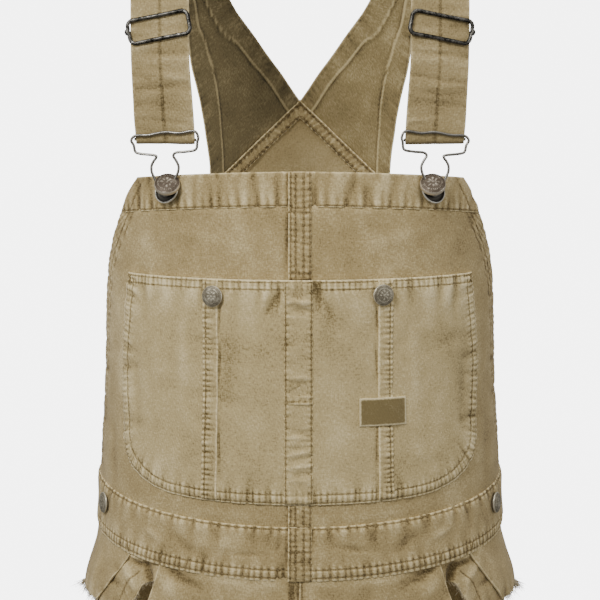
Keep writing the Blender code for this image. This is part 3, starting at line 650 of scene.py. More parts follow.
# How each kind of seam looks
SEAMS = {
    # name: stitch rows from the edge, ladder pitch, its height, its fade past the last row,
    # broad pucker pitch, its height, its reach, lightness of the edge, the folded hem's inner edge
    "double": ((1.6, 7.7), 4.0, 0.80, 3.2, 13.0, 0.90, 9.0, 1.6, 0.0),
    "pocket_top": ((1.8, 7.0), 4.4, 0.75, 1.8, 15.0, 1.30, 14.0, 1.6, 0.0),
    "waist_bottom": ((2.6, 8.6), 4.7, 0.80, 2.6, 15.0, 0.90, 9.0, 1.6, 0.0),
    "waist_top": ((1.8,), 6.5, 0.70, 3.4, 15.0, 1.30, 12.0, 0.6, 0.0),
    "band": ((1.3,), 7.0, 0.60, 9.0, 13.0, 1.30, 22.0, 0.8, 0.0),
    "band_top": ((), 9.0, 0.30, 4.0, 18.0, 0.80, 16.0, 1.0, 0.0),
    "under_band": ((), 8.0, 0.30, 2.2, 16.0, 0.50, 8.0, 1.5, 0.0),
    "side_hem": ((10.4, 15.6), 5.5, 0.55, 2.2, 17.0, 0.60, 8.0, 1.0, 0.0),
    "back_hem": ((1.8,), 6.0, 0.30, 7.0, 20.0, 0.85, 10.0, 0.9, 14.5),
    "arm_hem": ((1.8,), 6.0, 0.30, 7.0, 20.0, 0.85, 10.0, 0.9, 18.0),
    "neck_hem": ((1.8,), 6.0, 0.30, 7.0, 20.0, 0.85, 10.0, 1.1, 20.0),
    "felled": ((1.6,), 4.4, 0.42, 2.4, 16.0, 0.30, 5.0, 1.2, 0.0),
    "fold": ((), 4.4, 0.20, 2.4, 16.0, 0.30, 5.0, 2.2, 0.0),
    "inner": ((2.6,), 3.9, 0.80, 5.0, 14.0, 0.35, 7.0, 0.0, 0.0),
    "soft": ((0.9,), 4.3, 0.45, 3.0, 12.0, 0.50, 9.0, 0.2, 0.0),
    "diagonal": ((1.6,), 4.6, 0.85, 3.4, 14.0, 0.25, 5.0, 1.3, 0.0),
    "mouth": ((), 12.0, 0.20, 3.0, 24.0, 0.60, 9.0, 1.4, 0.0),
    "raw": ((), 3.2, 0.32, 2.0, 15.0, 1.20, 12.0, 1.2, 0.0),
    "label": ((), 3.0, 0.05, 1.0, 9.0, 0.10, 3.0, 3.6, 0.0),
    "plain": ((), 11.0, 0.20, 3.0, 21.0, 0.60, 12.0, 0.3, 0.0),
    "selvedge": ((), 9.0, 0.22, 2.0, 21.0, 0.50, 12.0, 1.0, 0.0),
}
FOLD_WIDTHS = {
    # name: run along the seam and how far in its folded hem reaches there
    "arm_hem": ((0, 10.0), (95, 9.0), (115, 10.0), (134, 16.5), (153, 19.0), (179, 18.0), (205, 15.5),
                (221, 15.0)),
    "neck_hem": ((0, 11.0), (50, 10.5), (70, 12.4), (96, 13.2), (113, 15.6), (132, 17.5), (150, 20.0),
                 (221, 15.0)),
}
SEAM_SPREAD = {
    # name: run along the seam and how much further apart its rows lie there
    "double": ((0, 1.35), (140, 1.35), (190, 1.0), (400, 1.0), (450, 1.35), (600, 1.35)),
}
CLOTH_GRIDS = {
    # name: grid step down, grid step across, strewn creases, their size, their height
    "bib": (2.8, 3.2, 40, 14, 0.42),
    "band": (1.6, 1.5, 30, 10, 0.42),
    "centre strip": (1.0, 1.0, 14, 7, 0.35),
    "pocket": (1.9, 1.6, 70, 12, 0.55),
    "pocket trim": (0.9, 1.0, 30, 9, 0.35),
    "label": (1.0, 1.0, 5, 8, 0.12),
    "waistband front": (1.4, 1.15, 24, 12, 0.5),
    "waistband back": (3.0, 3.4, 30, 13, 0.4),
    "front": (4.0, 3.4, 60, 20, 0.8),
    "facing": (1.5, 1.5, 12, 12, 0.6),
    "side": (2.0, 2.0, 24, 13, 0.8),
    "seat": (6.0, 5.4, 50, 22, 0.9),
    "back": (6.0, 5.6, 60, 24, 1.0),
    "back seam": (1.1, 1.1, 10, 9, 0.4),
    "wing": (2.6, 3.0, 26, 15, 0.7),
    "strap": (1.6, 1.3, 40, 12, 0.5),
}
FINE_STEP = 0.55
RIDGE_COUNT = 420
PATH_POINTS = 56

# The ladder of valleys across a seam and the broad puckers: mean height, a bell's share, unevenness
LADDER = (0.36, 0.25, 0.16)
PUCKERS = (0.38, 0.27, 0.36)
# The ladder's puffs show worn light and its valleys take painted shade; each row's groove takes painted shade
# too, less in a folded hem
LADDER_WEAR_AND_SHADE = 2.6
GROOVE_WIDTH = 0.55
GROOVE_DEPTH = 0.30
GROOVE_SHADE = 1.5
FOLDED_GROOVE_SHADE = 0.2
RIM_WIDTH = 0.9
RIM_DEPTH = 0.30

# A line of stitches within a piece: its ladder's pitch, share and fade, and its groove
LINE_PITCH = 4.2
LINE_SHARE = 0.22
LINE_FADE = 2.2
LINE_GROOVE = 0.7
LINE_DEPTH = 0.22
# The line's puffs show worn light; its valleys and groove take painted shade
LINE_WEAR_AND_SHADE = 3.0

# How much of a crease, of the strewn creases and of the piece below shows in the colour, ridges worn light
# and troughs in painted shade, and the limits of that colour
CREASE_WEAR_AND_SHADE = 0.55
STREWN_WEAR_AND_SHADE = 0.35
BELOW_WEAR_AND_SHADE = 0.5
WEAR_AND_SHADE_LIMITS = (-0.9, 1.2)

# Stitches and loose threads
STITCH_PITCH = 2.6
STITCH_LENGTH = 2.0
STITCH_WIDE = 0.25
STITCH_TALL = 0.22
STITCH_ENDS = 1.0
BAR_PITCH = 0.62
BAR_WIDE = 0.30
BAR_TALL = 0.42
THREAD_RADIUS = 0.17
THREAD_RINGS = 7
THREAD_SIDES = 3
THREAD_LIMP = 0.5
HEM_POINTS = 400

stitch_rows = {}
sewn = {}
reliefs = {}


def bells(run, off, pitch, share, seed, uneven):
    """Bells along a seam, each leaning a little.

    The share is a bell's width as a part of the pitch, and uneven is how much distances and heights vary.
    """
    rng = np.random.default_rng(seed)
    centre = np.cumsum(pitch * rng.uniform(1 - uneven, 1 + uneven, RIDGE_COUNT)) - 3 * pitch
    size = 1.0 - 2 * uneven * rng.uniform(0.0, 1.0, RIDGE_COUNT)
    lean = rng.normal(0.0, 0.02 + 0.2 * uneven, RIDGE_COUNT)
    after = np.clip(np.searchsorted(centre, run), 1, RIDGE_COUNT - 1)
    total = 0.0
    for index in (after - 1, after):
        across = (run + lean[index] * off - centre[index]) / (share * pitch)
        total = total + size[index] * np.exp(-across * across)
    return total


def spread(look, run):
    """How much further apart than usual a seam's rows lie along its run."""
    return smooth(run, *np.transpose(SEAM_SPREAD[look])) if look in SEAM_SPREAD else 1.0 + 0.0 * run


def hem(run, off, look, seed):
    """Height and colour beside a sewn edge, from the run along it and the distance in from it.

    Narrow valleys cross the rows of stitches between puffs and fade past the last row, broad puckers reach
    further in, each row lies in a groove, and the edge itself is rounded and worn light. The puffs show worn
    light, the valleys and grooves take painted shade, and a light line lies just outside each row. A folded hem
    is thicker up to its inner edge, which is worn light as well, with a painted shadow line beyond.
    """
    rows, pitch, ladder, fade, broad_pitch, broad, reach, edge, fold = SEAMS[look]
    off = off / spread(look, run)
    past = np.maximum(off - (rows[-1] if rows else 0.0), 0.0)
    near = np.exp(-(past / fade) ** 2)
    far = np.exp(-(past / reach) ** 2)
    fine = LADDER[0] - bells(run, off, pitch, LADDER[1], seed, LADDER[2])
    wide = PUCKERS[0] - bells(run, off, broad_pitch, PUCKERS[1], seed + 1000, PUCKERS[2])
    height = ladder * fine * near + broad * wide * far
    # Puffs and broad puckers show worn light; their valleys take painted shade
    wear_and_shading = LADDER_WEAR_AND_SHADE * ladder * fine * near + broad * wide * far
    for row in rows:
        groove = np.exp(-((off - row) / GROOVE_WIDTH) ** 2)
        height = height - GROOVE_DEPTH * groove
        # Painted shade in the row's groove, weaker in a folded hem
        wear_and_shading = wear_and_shading - (FOLDED_GROOVE_SHADE if fold else GROOVE_SHADE) * groove
        # A light line just outside the row
        wear_and_shading = wear_and_shading + 0.4 * np.exp(-((off - row + 1.4) / 0.6) ** 2)
    if look in FOLD_WIDTHS:
        fold = smooth(run, *np.transpose(FOLD_WIDTHS[look]))
    if SEAMS[look][8]:
        beyond = ease((off - fold) / 0.8)
        height = height + 0.5 * beyond
        wear_and_shading = wear_and_shading + 1.6 * np.exp(-((off - fold + 0.4) / 0.6) ** 2)
        # A painted shadow line beyond the folded hem's inner edge
        wear_and_shading = wear_and_shading - 1.0 * beyond * np.exp(-((off - fold) / 2.2) ** 2)
    rim = np.exp(-(off / RIM_WIDTH) ** 2)
    return height - RIM_DEPTH * rim, wear_and_shading + edge * rim * (0.85 + 0.5 * fine)


def crease(s, t, at_s, at_t, turn, length, width, height):
    """One soft ridge, or trough where height is negative: a bell along its line and across it."""
    along_s, along_t = math.cos(math.radians(turn)), math.sin(math.radians(turn))
    along = ((s - at_s) * along_s + (t - at_t) * along_t) / length
    across = ((t - at_t) * along_s - (s - at_s) * along_t) / width
    return height * np.exp(-along ** 2 - across ** 2)


def rumple(s, t, extent, count, size, height, seed):
    """Uneven soft creases strewn over a piece, most of them short and lying in every direction."""
    rng = np.random.default_rng(seed)
    total = 0.0
    for _ in range(count):
        at_s, at_t = rng.uniform(*extent[0]), rng.uniform(*extent[1])
        turn, long, lift = rng.uniform(0, 180), rng.uniform(0.7, 2.6) * size, rng.uniform(-1, 1) * height
        total = total + crease(s, t, at_s, at_t, turn, long, 0.38 * size, lift)
    return total


def run_and_off(path, s, t):
    """The run along a path and the distance to its left, at each point, from its nearest stretch."""
    start, step = path[:-1], np.diff(path, axis=0)
    length = np.hypot(*step.T)
    unit = step / length[:, None]
    begun = np.concatenate([[0.0], np.cumsum(length)[:-1]])
    shape = s.shape
    points = np.stack([s.ravel(), t.ravel()], -1)
    rel = points[:, None, :] - start[None]
    run = np.clip((rel * unit).sum(-1), 0, length)
    gap = rel - run[..., None] * unit
    apart = np.hypot(gap[..., 0], gap[..., 1])
    best = apart.argmin(1)
    every = np.arange(len(points))
    side = unit[best, 0] * rel[every, best, 1] - unit[best, 1] * rel[every, best, 0]
    off = apart[every, best] * np.where(side >= 0, 1.0, -1.0)
    return (begun[best] + run[every, best]).reshape(shape), off.reshape(shape)


def even(path, count):
    """The same path through a number of points at equal runs."""
    run = np.concatenate([[0.0], np.cumsum(np.hypot(*np.diff(path, axis=0).T))])
    steps = np.linspace(0, run[-1], count)
    return np.stack([np.interp(steps, run, path[:, 0]), np.interp(steps, run, path[:, 1])], -1)


def edges_of(s, t, names):
    """The outline of a piece's grid along the named edges, walked with the piece on the left."""
    sides = {
        "start": (slice(None), 0),
        "bottom": (-1, slice(None)),
        "end": (slice(None, None, -1), -1),
        "top": (0, slice(None, None, -1)),
    }
    path = np.concatenate([np.stack([s[sides[name]], t[sides[name]]], -1) for name in names])
    keep = np.concatenate([[True], np.hypot(*np.diff(path, axis=0).T) > 0.001])
    return even(path[keep], PATH_POINTS)


def mesh_item(name, points, faces, finish, wear_and_shading=None):
    """An object with a smooth mesh from points in millimetres, faces, a material and perhaps its worn places
    and painted shading.
    """
    mesh = bpy.data.meshes.new(name)
    mesh.from_pydata((points * MM).tolist(), [], faces.tolist())
    if wear_and_shading is not None:
        places = mesh.attributes.new("wear_and_shading", "FLOAT", "POINT").data
        places.foreach_set("value", wear_and_shading.ravel().astype(np.float32))
    mesh.shade_smooth()
    mesh.materials.append(finish)
    item = bpy.data.objects.new(name, mesh)
    bpy.context.scene.collection.objects.link(item)
    return item


def loose_mesh(name, points, faces, finish):
    """A mesh that replaces nothing, riding on the garment."""
    item = mesh_item(name, points, faces, finish)
    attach(item, BODY)
    return item


def shell(name, nodes, points, s, t, wear_and_shading, wall, finish, slot, held, rests_on=(), inside=None):
    """A piece of cloth: its outer face as a grid, its cloth coordinates in metres, and a wall inwards."""
    rows, columns_round = points.shape[:2]
    index = np.arange(rows * columns_round).reshape(rows, columns_round)
    quads = np.stack([index[:-1, :-1], index[1:, :-1], index[1:, 1:], index[:-1, 1:]], axis=-1).reshape(-1, 4)
    item = mesh_item(name, points.reshape(-1, 3), quads, finish, wear_and_shading)
    weave = (np.stack([s.ravel(), t.ravel()], -1) * MM)[quads.ravel()]
    item.data.uv_layers.new(name="weave").data.foreach_set("uv", weave.ravel().astype(np.float32))
    solid = item.modifiers.new("wall", "SOLIDIFY")
    solid.thickness = wall * MM
    solid.offset = -1.0
    if inside is not None:
        item.data.materials.append(inside)
        solid.material_offset = 1
    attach(item, BODY)
    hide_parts(*nodes)
    across = np.linalg.norm(np.diff(points, axis=1), axis=-1).sum(1).max() * MM
    down = np.linalg.norm(np.diff(points, axis=0), axis=-1).sum(0).max() * MM
    list(rests_on)
    return item


def stitch_run(group, surface, path, row, look=None):
    """Note the stitches of one row: the ends and the middle of each, laid on the cloth, and its outward."""
    run = np.concatenate([[0.0], np.cumsum(np.hypot(*np.diff(path, axis=0).T))])
    row = row * spread(look, run)[:, None]
    step = np.diff(path, axis=0)
    unit = step / np.hypot(*step.T)[:, None]
    unit = np.concatenate([unit[:1], 0.5 * (unit[1:] + unit[:-1]), unit[-1:]])
    line = path + row * np.stack([-unit[:, 1], unit[:, 0]], -1)
    run = np.concatenate([[0.0], np.cumsum(np.hypot(*np.diff(line, axis=0).T))])
    first = STITCH_ENDS + 0.5 * STITCH_LENGTH
    middle = np.arange(first, run[-1] - first, STITCH_PITCH)
    if len(middle) == 0:
        return
    places = []
    for shift in (-0.5, 0.0, 0.5):
        at = middle + shift * STITCH_LENGTH
        places.append(surface(np.interp(at, run, line[:, 0]), np.interp(at, run, line[:, 1]), 0.0))
    at_s, at_t = np.interp(middle, run, line[:, 0]), np.interp(middle, run, line[:, 1])
    outward = surface(at_s, at_t, 1.0) - places[1]
    outward = outward / np.linalg.norm(outward, axis=-1, keepdims=True)
    stitch_rows.setdefault(group, []).append((*places, outward, STITCH_WIDE, STITCH_TALL))


def stitch_mesh(name, rows, finish):
    """All the stitches of a group as one mesh: each is a spindle of two square rings between two points."""
    points, faces = [], []
    base = 0
    for first, middle, last, outward, wide, tall in rows:
        along = last - first
        along = along / np.linalg.norm(along, axis=-1, keepdims=True)
        across = np.cross(outward, along)
        rings = []
        for share in (0.24, 0.76):
            centre = first + (last - first) * share
            centre = centre + (middle - 0.5 * (first + last)) * 0.8 + outward * 0.12
            rings.append(np.stack([centre + across * wide, centre + outward * tall,
                                   centre - across * wide, centre - outward * tall], 1))
        tips = np.stack([first - outward * 0.12, last - outward * 0.12], 1)
        block = np.concatenate([tips, rings[0], rings[1]], 1)
        count = len(first)
        start = base + 10 * np.arange(count)[:, None]
        near = np.array([[0, 2 + (k + 1) % 4, 2 + k] for k in range(4)])
        far = np.array([[1, 6 + k, 6 + (k + 1) % 4] for k in range(4)])
        walls = np.array([[[2 + k, 2 + (k + 1) % 4, 6 + (k + 1) % 4], [2 + k, 6 + (k + 1) % 4, 6 + k]]
                          for k in range(4)]).reshape(-1, 3)
        pattern = np.concatenate([near, far, walls])
        faces.append((start[:, :, None] + pattern[None]).reshape(-1, 3))
        points.append(block.reshape(-1, 3))
        base += 10 * count
    return loose_mesh(name, np.concatenate(points), np.concatenate(faces), finish)


def sew(name, nodes, surface, s, t, seams, wall, finish, slot, ruck, lines=(), creases=(), held="hung",
        rests_on=(), group="body", seed=1, inside=None, follows=None, puff=0.42):
    """A piece of cloth with its seams, creases and stitches; surface places cloth coordinates and a lift.

    Its relief adds a hem beside each seamed edge, a groove along each inner line, the listed creases and a
    strewn rumple. The same relief lays the stitches on the cloth. A piece that follows another adds that
    one's relief to its own.
    """
    extent = (s.min(), s.max()), (t.min(), t.max())

    def relief(s, t):
        height, wear_and_shading = 0.0 * s, 0.0 * s
        for number, (path, look) in enumerate(seams):
            lift, light = hem(*run_and_off(path, s, t), look, seed * 17 + number)
            height, wear_and_shading = height + lift, wear_and_shading + light
        for number, path in enumerate(lines):
            run, off = run_and_off(path, s, t)
            fine = LADDER[0] - bells(run, off, LINE_PITCH, LINE_SHARE, seed * 31 + number, LADDER[2])
            near = np.exp(-(off / LINE_FADE) ** 2)
            groove = np.exp(-(off / LINE_GROOVE) ** 2)
            height = height + puff * fine * near - LINE_DEPTH * groove
            # The line's puffs show worn light; its valleys and groove take painted shade
            wear_and_shading = wear_and_shading + LINE_WEAR_AND_SHADE * puff * fine * near - GROOVE_SHADE * groove
        for row in creases:
            lift = crease(s, t, *row)
            # A crease's ridge shows worn light and its trough takes painted shade
            height, wear_and_shading = height + lift, wear_and_shading + CREASE_WEAR_AND_SHADE * lift
        strewn = rumple(s, t, extent, *ruck, seed * 7)
        below = reliefs[follows](s, t) if follows else (0.0, 0.0)
        # The strewn creases likewise, and a following piece takes part of the painted shading of the one below
        wear_and_shading = np.clip(wear_and_shading + STREWN_WEAR_AND_SHADE * strewn + BELOW_WEAR_AND_SHADE * below[1], *WEAR_AND_SHADE_LIMITS)
        return height + strewn + below[0], wear_and_shading

    def dressed(s, t, lift):
        return surface(s, t, relief(s, t)[0] + lift)

    height, wear_and_shading = relief(s, t)
    item = shell(name, nodes, surface(s, t, height), s, t, wear_and_shading, wall, finish, slot, held, rests_on, inside)
    for path, look in seams:
        for row in SEAMS[look][0]:
            stitch_run(group, dressed, path, row, look)
    for path in lines:
        stitch_run(group, dressed, even(path, PATH_POINTS), 0.0)
    sewn[name] = dressed, s, t
    reliefs[name] = relief
    return item


def on_form(out):
    """The surface that stands out from the body form, by cloth coordinates: angle times arc, and level."""
    def surface(s, t, lift):
        return place(s / ARC, t, (out(s / ARC, t) if callable(out) else out) + lift)
    return surface


def spacing(length, step, first, last):
    """Shares of a length whose steps are fine within a reach of either end and wider between."""
    run = np.linspace(0.0, length, 1500)
    near = np.maximum(1 - ease((run - first) / 3.0), 1 - ease((length - run - last) / 3.0))
    density = 1 / step + max(1 / FINE_STEP - 1 / step, 0.0) * near
    total = np.concatenate([[0.0], np.cumsum(0.5 * (density[1:] + density[:-1]) * np.diff(run))])
    return np.interp(np.linspace(0.0, total[-1], int(total[-1]) + 2), total, run) / length


def reach_of(seams, edge):
    """How far in from an edge its seam needs fine steps."""
    looks = [SEAMS[look] for names, look in seams if edge in names]
    return max([0.0] + [max((*look[0], look[8])) + 2.0 for look in looks])


def form_piece(name, nodes, cut, out, wall, kind, finish, slot, seams=(), lines=(), creases=(), **more):
    """A piece on the body form between its four edges, with seams by the edges' names and lines by angle.

    The kind names its row of grid steps and strewn creases.
    """
    start, end, top, bottom = cut
    step_down, step_across, *ruck = CLOTH_GRIDS[kind]
    angle, level = sheet_grid(start, end, top, bottom, np.linspace(0, 1, 9), np.linspace(0, 1, 9))
    tall = np.abs(np.diff(level, axis=0)).sum(0).max()
    broad = np.abs(np.diff(angle, axis=1)).sum(1).max() * ARC
    down = spacing(tall, step_down, reach_of(seams, "top"), reach_of(seams, "bottom"))
    across = spacing(broad, step_across, reach_of(seams, "start"), reach_of(seams, "end"))
    angle, level = sheet_grid(start, end, top, bottom, down, across)
    s, t = angle * ARC, level
    paths = [(edges_of(s, t, names), look) for names, look in seams]
    inner = [np.array(path, dtype=float) * (ARC, 1.0) for path in lines]
    creases = [(row[0] * ARC, *row[1:]) for row in creases]
    return sew(name, nodes, on_form(out), s, t, paths, wall, finish, slot, ruck, inner, creases,
               **more)


def bartack(group, surface, first, last, wide):
    """Note a bar of close stitches laid across a short line between two places of the cloth."""
    first, last = np.array(first, dtype=float), np.array(last, dtype=float)
    length = math.hypot(*(last - first))
    share = np.linspace(0, 1, int(length / BAR_PITCH) + 1)[:, None]
    centre = first + (last - first) * share
    across = np.array([first[1] - last[1], last[0] - first[0]]) / length * wide / 2
    ends = [surface(*(centre + shift * across).T, 0.0) for shift in (-1, 0, 1)]
    outward = surface(*centre.T, 1.0) - ends[1]
    outward = outward / np.linalg.norm(outward, axis=-1, keepdims=True)
    stitch_rows.setdefault(group, []).append((*ends, outward, BAR_WIDE, BAR_TALL))


def fray(name, piece, count, length, seed, finish, shares=(0.0, 1.0), out=0.0):
    """Loose threads out of a raw hem: each a thin strand from the hem's edge, bent on its way down.

    The piece's own surface carries them, so that they start in the cloth; further down each leans by its own
    slope, sways twice and lifts off or sinks in.
    """
    dressed, s, t = sewn[piece]
    rng = np.random.default_rng(seed)
    edge = even(np.stack([s[-1], t[-1]], -1), HEM_POINTS)
    at = rng.uniform(*shares, count) * (HEM_POINTS - 1)
    root_s, root_t = [np.interp(at, np.arange(HEM_POINTS), column) for column in edge.T]
    steps = np.linspace(0, 1, THREAD_RINGS)[None, :]
    long = length * rng.uniform(0.25, 1.0, (count, 1)) ** 1.6
    lean = rng.normal(0.0, 0.45, (count, 1))
    sway = rng.normal(0.0, 0.42, (count, 1)) * np.sin(2.2 * math.pi * steps + rng.uniform(0, 6, (count, 1)))
    lift = rng.normal(out, THREAD_LIMP, (count, 1)) * steps ** 1.5 * long - 0.8
    along_s = root_s[:, None] + (lean * steps + sway * steps) * long
    along_t = root_t[:, None] + 1.2 - (long + 1.2) * steps
    path = dressed(along_s, along_t, lift)
    ahead = np.gradient(path, axis=1)
    ahead = ahead / np.linalg.norm(ahead, axis=-1, keepdims=True)
    side = np.cross(ahead, (0.0, 0.0, 1.0)) + (1e-6, 0, 0)
    side = side / np.linalg.norm(side, axis=-1, keepdims=True)
    up = np.cross(side, ahead)
    turns = np.arange(THREAD_SIDES) * 2 * math.pi / THREAD_SIDES
    thick = THREAD_RADIUS * rng.uniform(0.7, 1.5, (count, 1, 1, 1)) * (1 - 0.6 * steps[..., None, None])
    ring = np.cos(turns)[:, None] * side[:, :, None] + np.sin(turns)[:, None] * up[:, :, None]
    points = path[:, :, None] + thick * ring
    index = np.arange(count * THREAD_RINGS * THREAD_SIDES).reshape(count, THREAD_RINGS, THREAD_SIDES)
    round_on = np.roll(index, -1, axis=2)
    quads = np.stack([index[:, :-1], round_on[:, :-1], round_on[:, 1:], index[:, 1:]], -1).reshape(-1, 4)
    return loose_mesh(name, points.reshape(-1, 3), quads, finish)


def put(tree, kind, sockets=(), **settings):
    """A node with its settings; sockets maps an input's name or number to a value or an output."""
    item = tree.nodes.new(kind)
    for name, value in settings.items():
        setattr(item, name, value)
    for name, value in dict(sockets).items():
        if isinstance(value, bpy.types.NodeSocket):
            tree.links.new(value, item.inputs[name])
        else:
            item.inputs[name].default_value = value
    return item


def new_group(name, inputs, outputs):
    """An empty node group with named inputs and outputs."""
    tree = bpy.data.node_groups.new(name, "ShaderNodeTree")
    for label, kind in inputs:
        tree.interface.new_socket(name=label, in_out="INPUT", socket_type="NodeSocket" + kind)
    for label, kind in outputs:
        tree.interface.new_socket(name=label, in_out="OUTPUT", socket_type="NodeSocket" + kind)
    return tree, tree.nodes.new("NodeGroupInput").outputs, tree.nodes.new("NodeGroupOutput").inputs


def noise(tree, vector, scale, detail, roughness=0.5, stretch=None):
    """A noise texture's value, on a vector whose axes may first be multiplied."""
    if stretch is not None:
        vector = put(tree, "ShaderNodeMapping", {"Vector": vector, "Scale": stretch}).outputs["Vector"]
    sockets = {"Vector": vector, "Scale": scale, "Detail": detail, "Roughness": roughness}
    return put(tree, "ShaderNodeTexNoise", sockets).outputs["Fac"]


def calculate(tree, operation, *values):
    """A math node's value; MULTIPLY_ADD multiplies its first two values and adds the third."""
    return put(tree, "ShaderNodeMath", dict(enumerate(values)), operation=operation).outputs[0]


def ranged(tree, value, low, high, first=0.0, last=1.0):
    """A value carried from one range to another and kept inside it."""
    sockets = {"Value": value, "From Min": low, "From Max": high, "To Min": first, "To Max": last}
    return put(tree, "ShaderNodeMapRange", sockets).outputs[0]


def mixed(tree, share, first, second):
    """Two colours mixed by a share."""
    return put(tree, "ShaderNodeMix", {0: share, 6: first, 7: second}, data_type="RGBA").outputs[2]


def washed_canvas():
    """Washed twill: its shade wanders by blotches and slubs, worn ridges and seams, and painted shade in
    hollows.

    Their sum mixes the cloth's own colour with its worn one above a threshold and with its deep one below; the
    deep one also serves as painted shade.
    """
    tree, given, out = new_group(
        "Washed canvas",
        [("Cloth", "Color"), ("Worn", "Color"), ("Deep", "Color"), ("Mottle", "Float"), ("Wear and shading", "Float"),
         ("Weave", "Vector")],
        [("Color", "Color"), ("Height", "Float"), ("Roughness", "Float")])
    place_in = put(tree, "ShaderNodeTexCoord").outputs["Object"]
    blotch = noise(tree, place_in, 34.0, 6.0, 0.72)
    cloud = noise(tree, place_in, 11.0, 2.0)
    warp = noise(tree, given["Weave"], 1.0, 3.0, 0.6, stretch=(1000, 420, 1))
    weft = noise(tree, given["Weave"], 1.0, 2.0, stretch=(380, 900, 1))
    slant = {"Vector": given["Weave"], "Scale": (1.0, 0.55, 1)}
    slanted = put(tree, "ShaderNodeMapping", slant).outputs["Vector"]
    bands = {"Vector": slanted, "Scale": 270.0, "Distortion": 1.2, "Detail": 2.0, "Detail Scale": 2.0}
    twill = put(tree, "ShaderNodeTexWave", bands, wave_type="BANDS",
                bands_direction="DIAGONAL").outputs["Fac"]
    shade = calculate(tree, "MULTIPLY_ADD", blotch, 2.0, -1.0)
    shade = calculate(tree, "MULTIPLY_ADD", cloud, 1.0, calculate(tree, "SUBTRACT", shade, 0.5))
    grain = calculate(tree, "MULTIPLY_ADD", warp, 2.0, -1.0)
    grain = calculate(tree, "MULTIPLY_ADD", weft, 1.4, calculate(tree, "SUBTRACT", grain, 0.7))
    total = calculate(tree, "ADD", shade, grain)
    total = calculate(tree, "MULTIPLY_ADD", total, given["Mottle"], given["Wear and shading"])
    color = mixed(tree, ranged(tree, total, 0.05, 1.25), given["Cloth"], given["Worn"])
    color = mixed(tree, ranged(tree, total, -0.10, -1.15), color, given["Deep"])
    height = calculate(tree, "MULTIPLY_ADD", warp, 0.9, 0.0)
    height = calculate(tree, "MULTIPLY_ADD", twill, 0.35, height)
    height = calculate(tree, "MULTIPLY_ADD", weft, 0.6, height)
    tree.links.new(color, out["Color"])
    tree.links.new(height, out["Height"])
    tree.links.new(ranged(tree, total, -1.0, 1.0, 0.95, 0.82), out["Roughness"])
    return tree


def aged_metal():
    """Aged metal: specks, rubbed places, rubbed relief, painted highlights and painted shade mix its dark and
    bright shades; its height is pitted.
    """
    tree, given, out = new_group(
        "Aged metal", [("Dark", "Color"), ("Bright", "Color"), ("Rub", "Float"), ("Wear and shading", "Float")],
        [("Color", "Color"), ("Height", "Float"), ("Roughness", "Float")])
    place_in = put(tree, "ShaderNodeTexCoord").outputs["Object"]
    specks = noise(tree, place_in, 1500.0, 3.0, 0.7)
    patches = noise(tree, place_in, 260.0, 2.0)
    total = calculate(tree, "MULTIPLY_ADD", patches, 0.7, given["Rub"])
    total = calculate(tree, "MULTIPLY_ADD", specks, 0.9, total)
    total = calculate(tree, "MULTIPLY_ADD", given["Wear and shading"], 0.5, total)
    tree.links.new(mixed(tree, ranged(tree, total, 0.62, 1.15), given["Dark"], given["Bright"]), out["Color"])
    tree.links.new(specks, out["Height"])
    tree.links.new(ranged(tree, total, 0.6, 1.2, 0.50, 0.30), out["Roughness"])
    return tree


def finish_material(name, group, values, bump, depth, **shader_values):
    """A Principled material fed by a group's colour, height and roughness, with plain values beside them."""
    material = bpy.data.materials.new(name)
    material.use_nodes = True
    tree = material.node_tree
    shader = tree.nodes["Principled BSDF"]
    inputs = dict(values)
    if "Wear and shading" in group.interface.items_tree:
        inputs["Wear and shading"] = put(tree, "ShaderNodeAttribute", attribute_name="wear_and_shading").outputs["Fac"]
    if "Weave" in group.interface.items_tree:
        inputs["Weave"] = put(tree, "ShaderNodeUVMap", uv_map="weave").outputs["UV"]
    effect = put(tree, "ShaderNodeGroup", node_tree=group)
    for label, value in inputs.items():
        if isinstance(value, bpy.types.NodeSocket):
            tree.links.new(value, effect.inputs[label])
        else:
            effect.inputs[label].default_value = value
    tree.links.new(effect.outputs["Color"], shader.inputs["Base Color"])
    tree.links.new(effect.outputs["Roughness"], shader.inputs["Roughness"])
    relief = {"Height": effect.outputs["Height"], "Strength": bump, "Distance": depth}
    raised = put(tree, "ShaderNodeBump", relief)
    tree.links.new(raised.outputs["Normal"], shader.inputs["Normal"])
    for label, value in shader_values.items():
        shader.inputs[label.replace("_", " ")].default_value = value
    return material


def shade_of(red, green, blue):
    """A linear colour from the eight-bit one that is seen."""
    seen = np.array([red, green, blue]) / 255
    linear = np.where(seen <= 0.04045, seen / 12.92, ((seen + 0.055) / 1.055) ** 2.4)
    return (*linear.tolist(), 1.0)


CLOTHS = {
    # name: cloth, worn and deep shades as they are seen, share of mottling
    "canvas": ((163, 142, 96), (222, 203, 154), (84, 67, 31), 1.0),
    "pocket canvas": ((181, 161, 113), (232, 214, 166), (92, 75, 36), 1.0),
    "strap canvas": ((154, 135, 92), (206, 187, 140), (80, 65, 31), 1.0),
    # The three inside shades are copies of one cloth with painted light: deep painted shade inside the left
    # wing, lighter painted shade inside the right wing, and painted light inside the back
    "left wing inside": ((104, 91, 58), (160, 143, 102), (50, 42, 22), 1.0),
    "right wing inside": ((134, 117, 76), (190, 172, 126), (64, 53, 27), 1.0),
    "back inside painted light": ((172, 151, 104), (214, 195, 148), (80, 67, 34), 1.0),
    "label": ((116, 100, 60), (214, 198, 154), (86, 73, 41), 0.25),
    "thread": ((136, 116, 72), (176, 156, 112), (86, 70, 36), 0.6),
    "fray": ((184, 170, 138), (226, 214, 184), (112, 98, 66), 1.0),
}
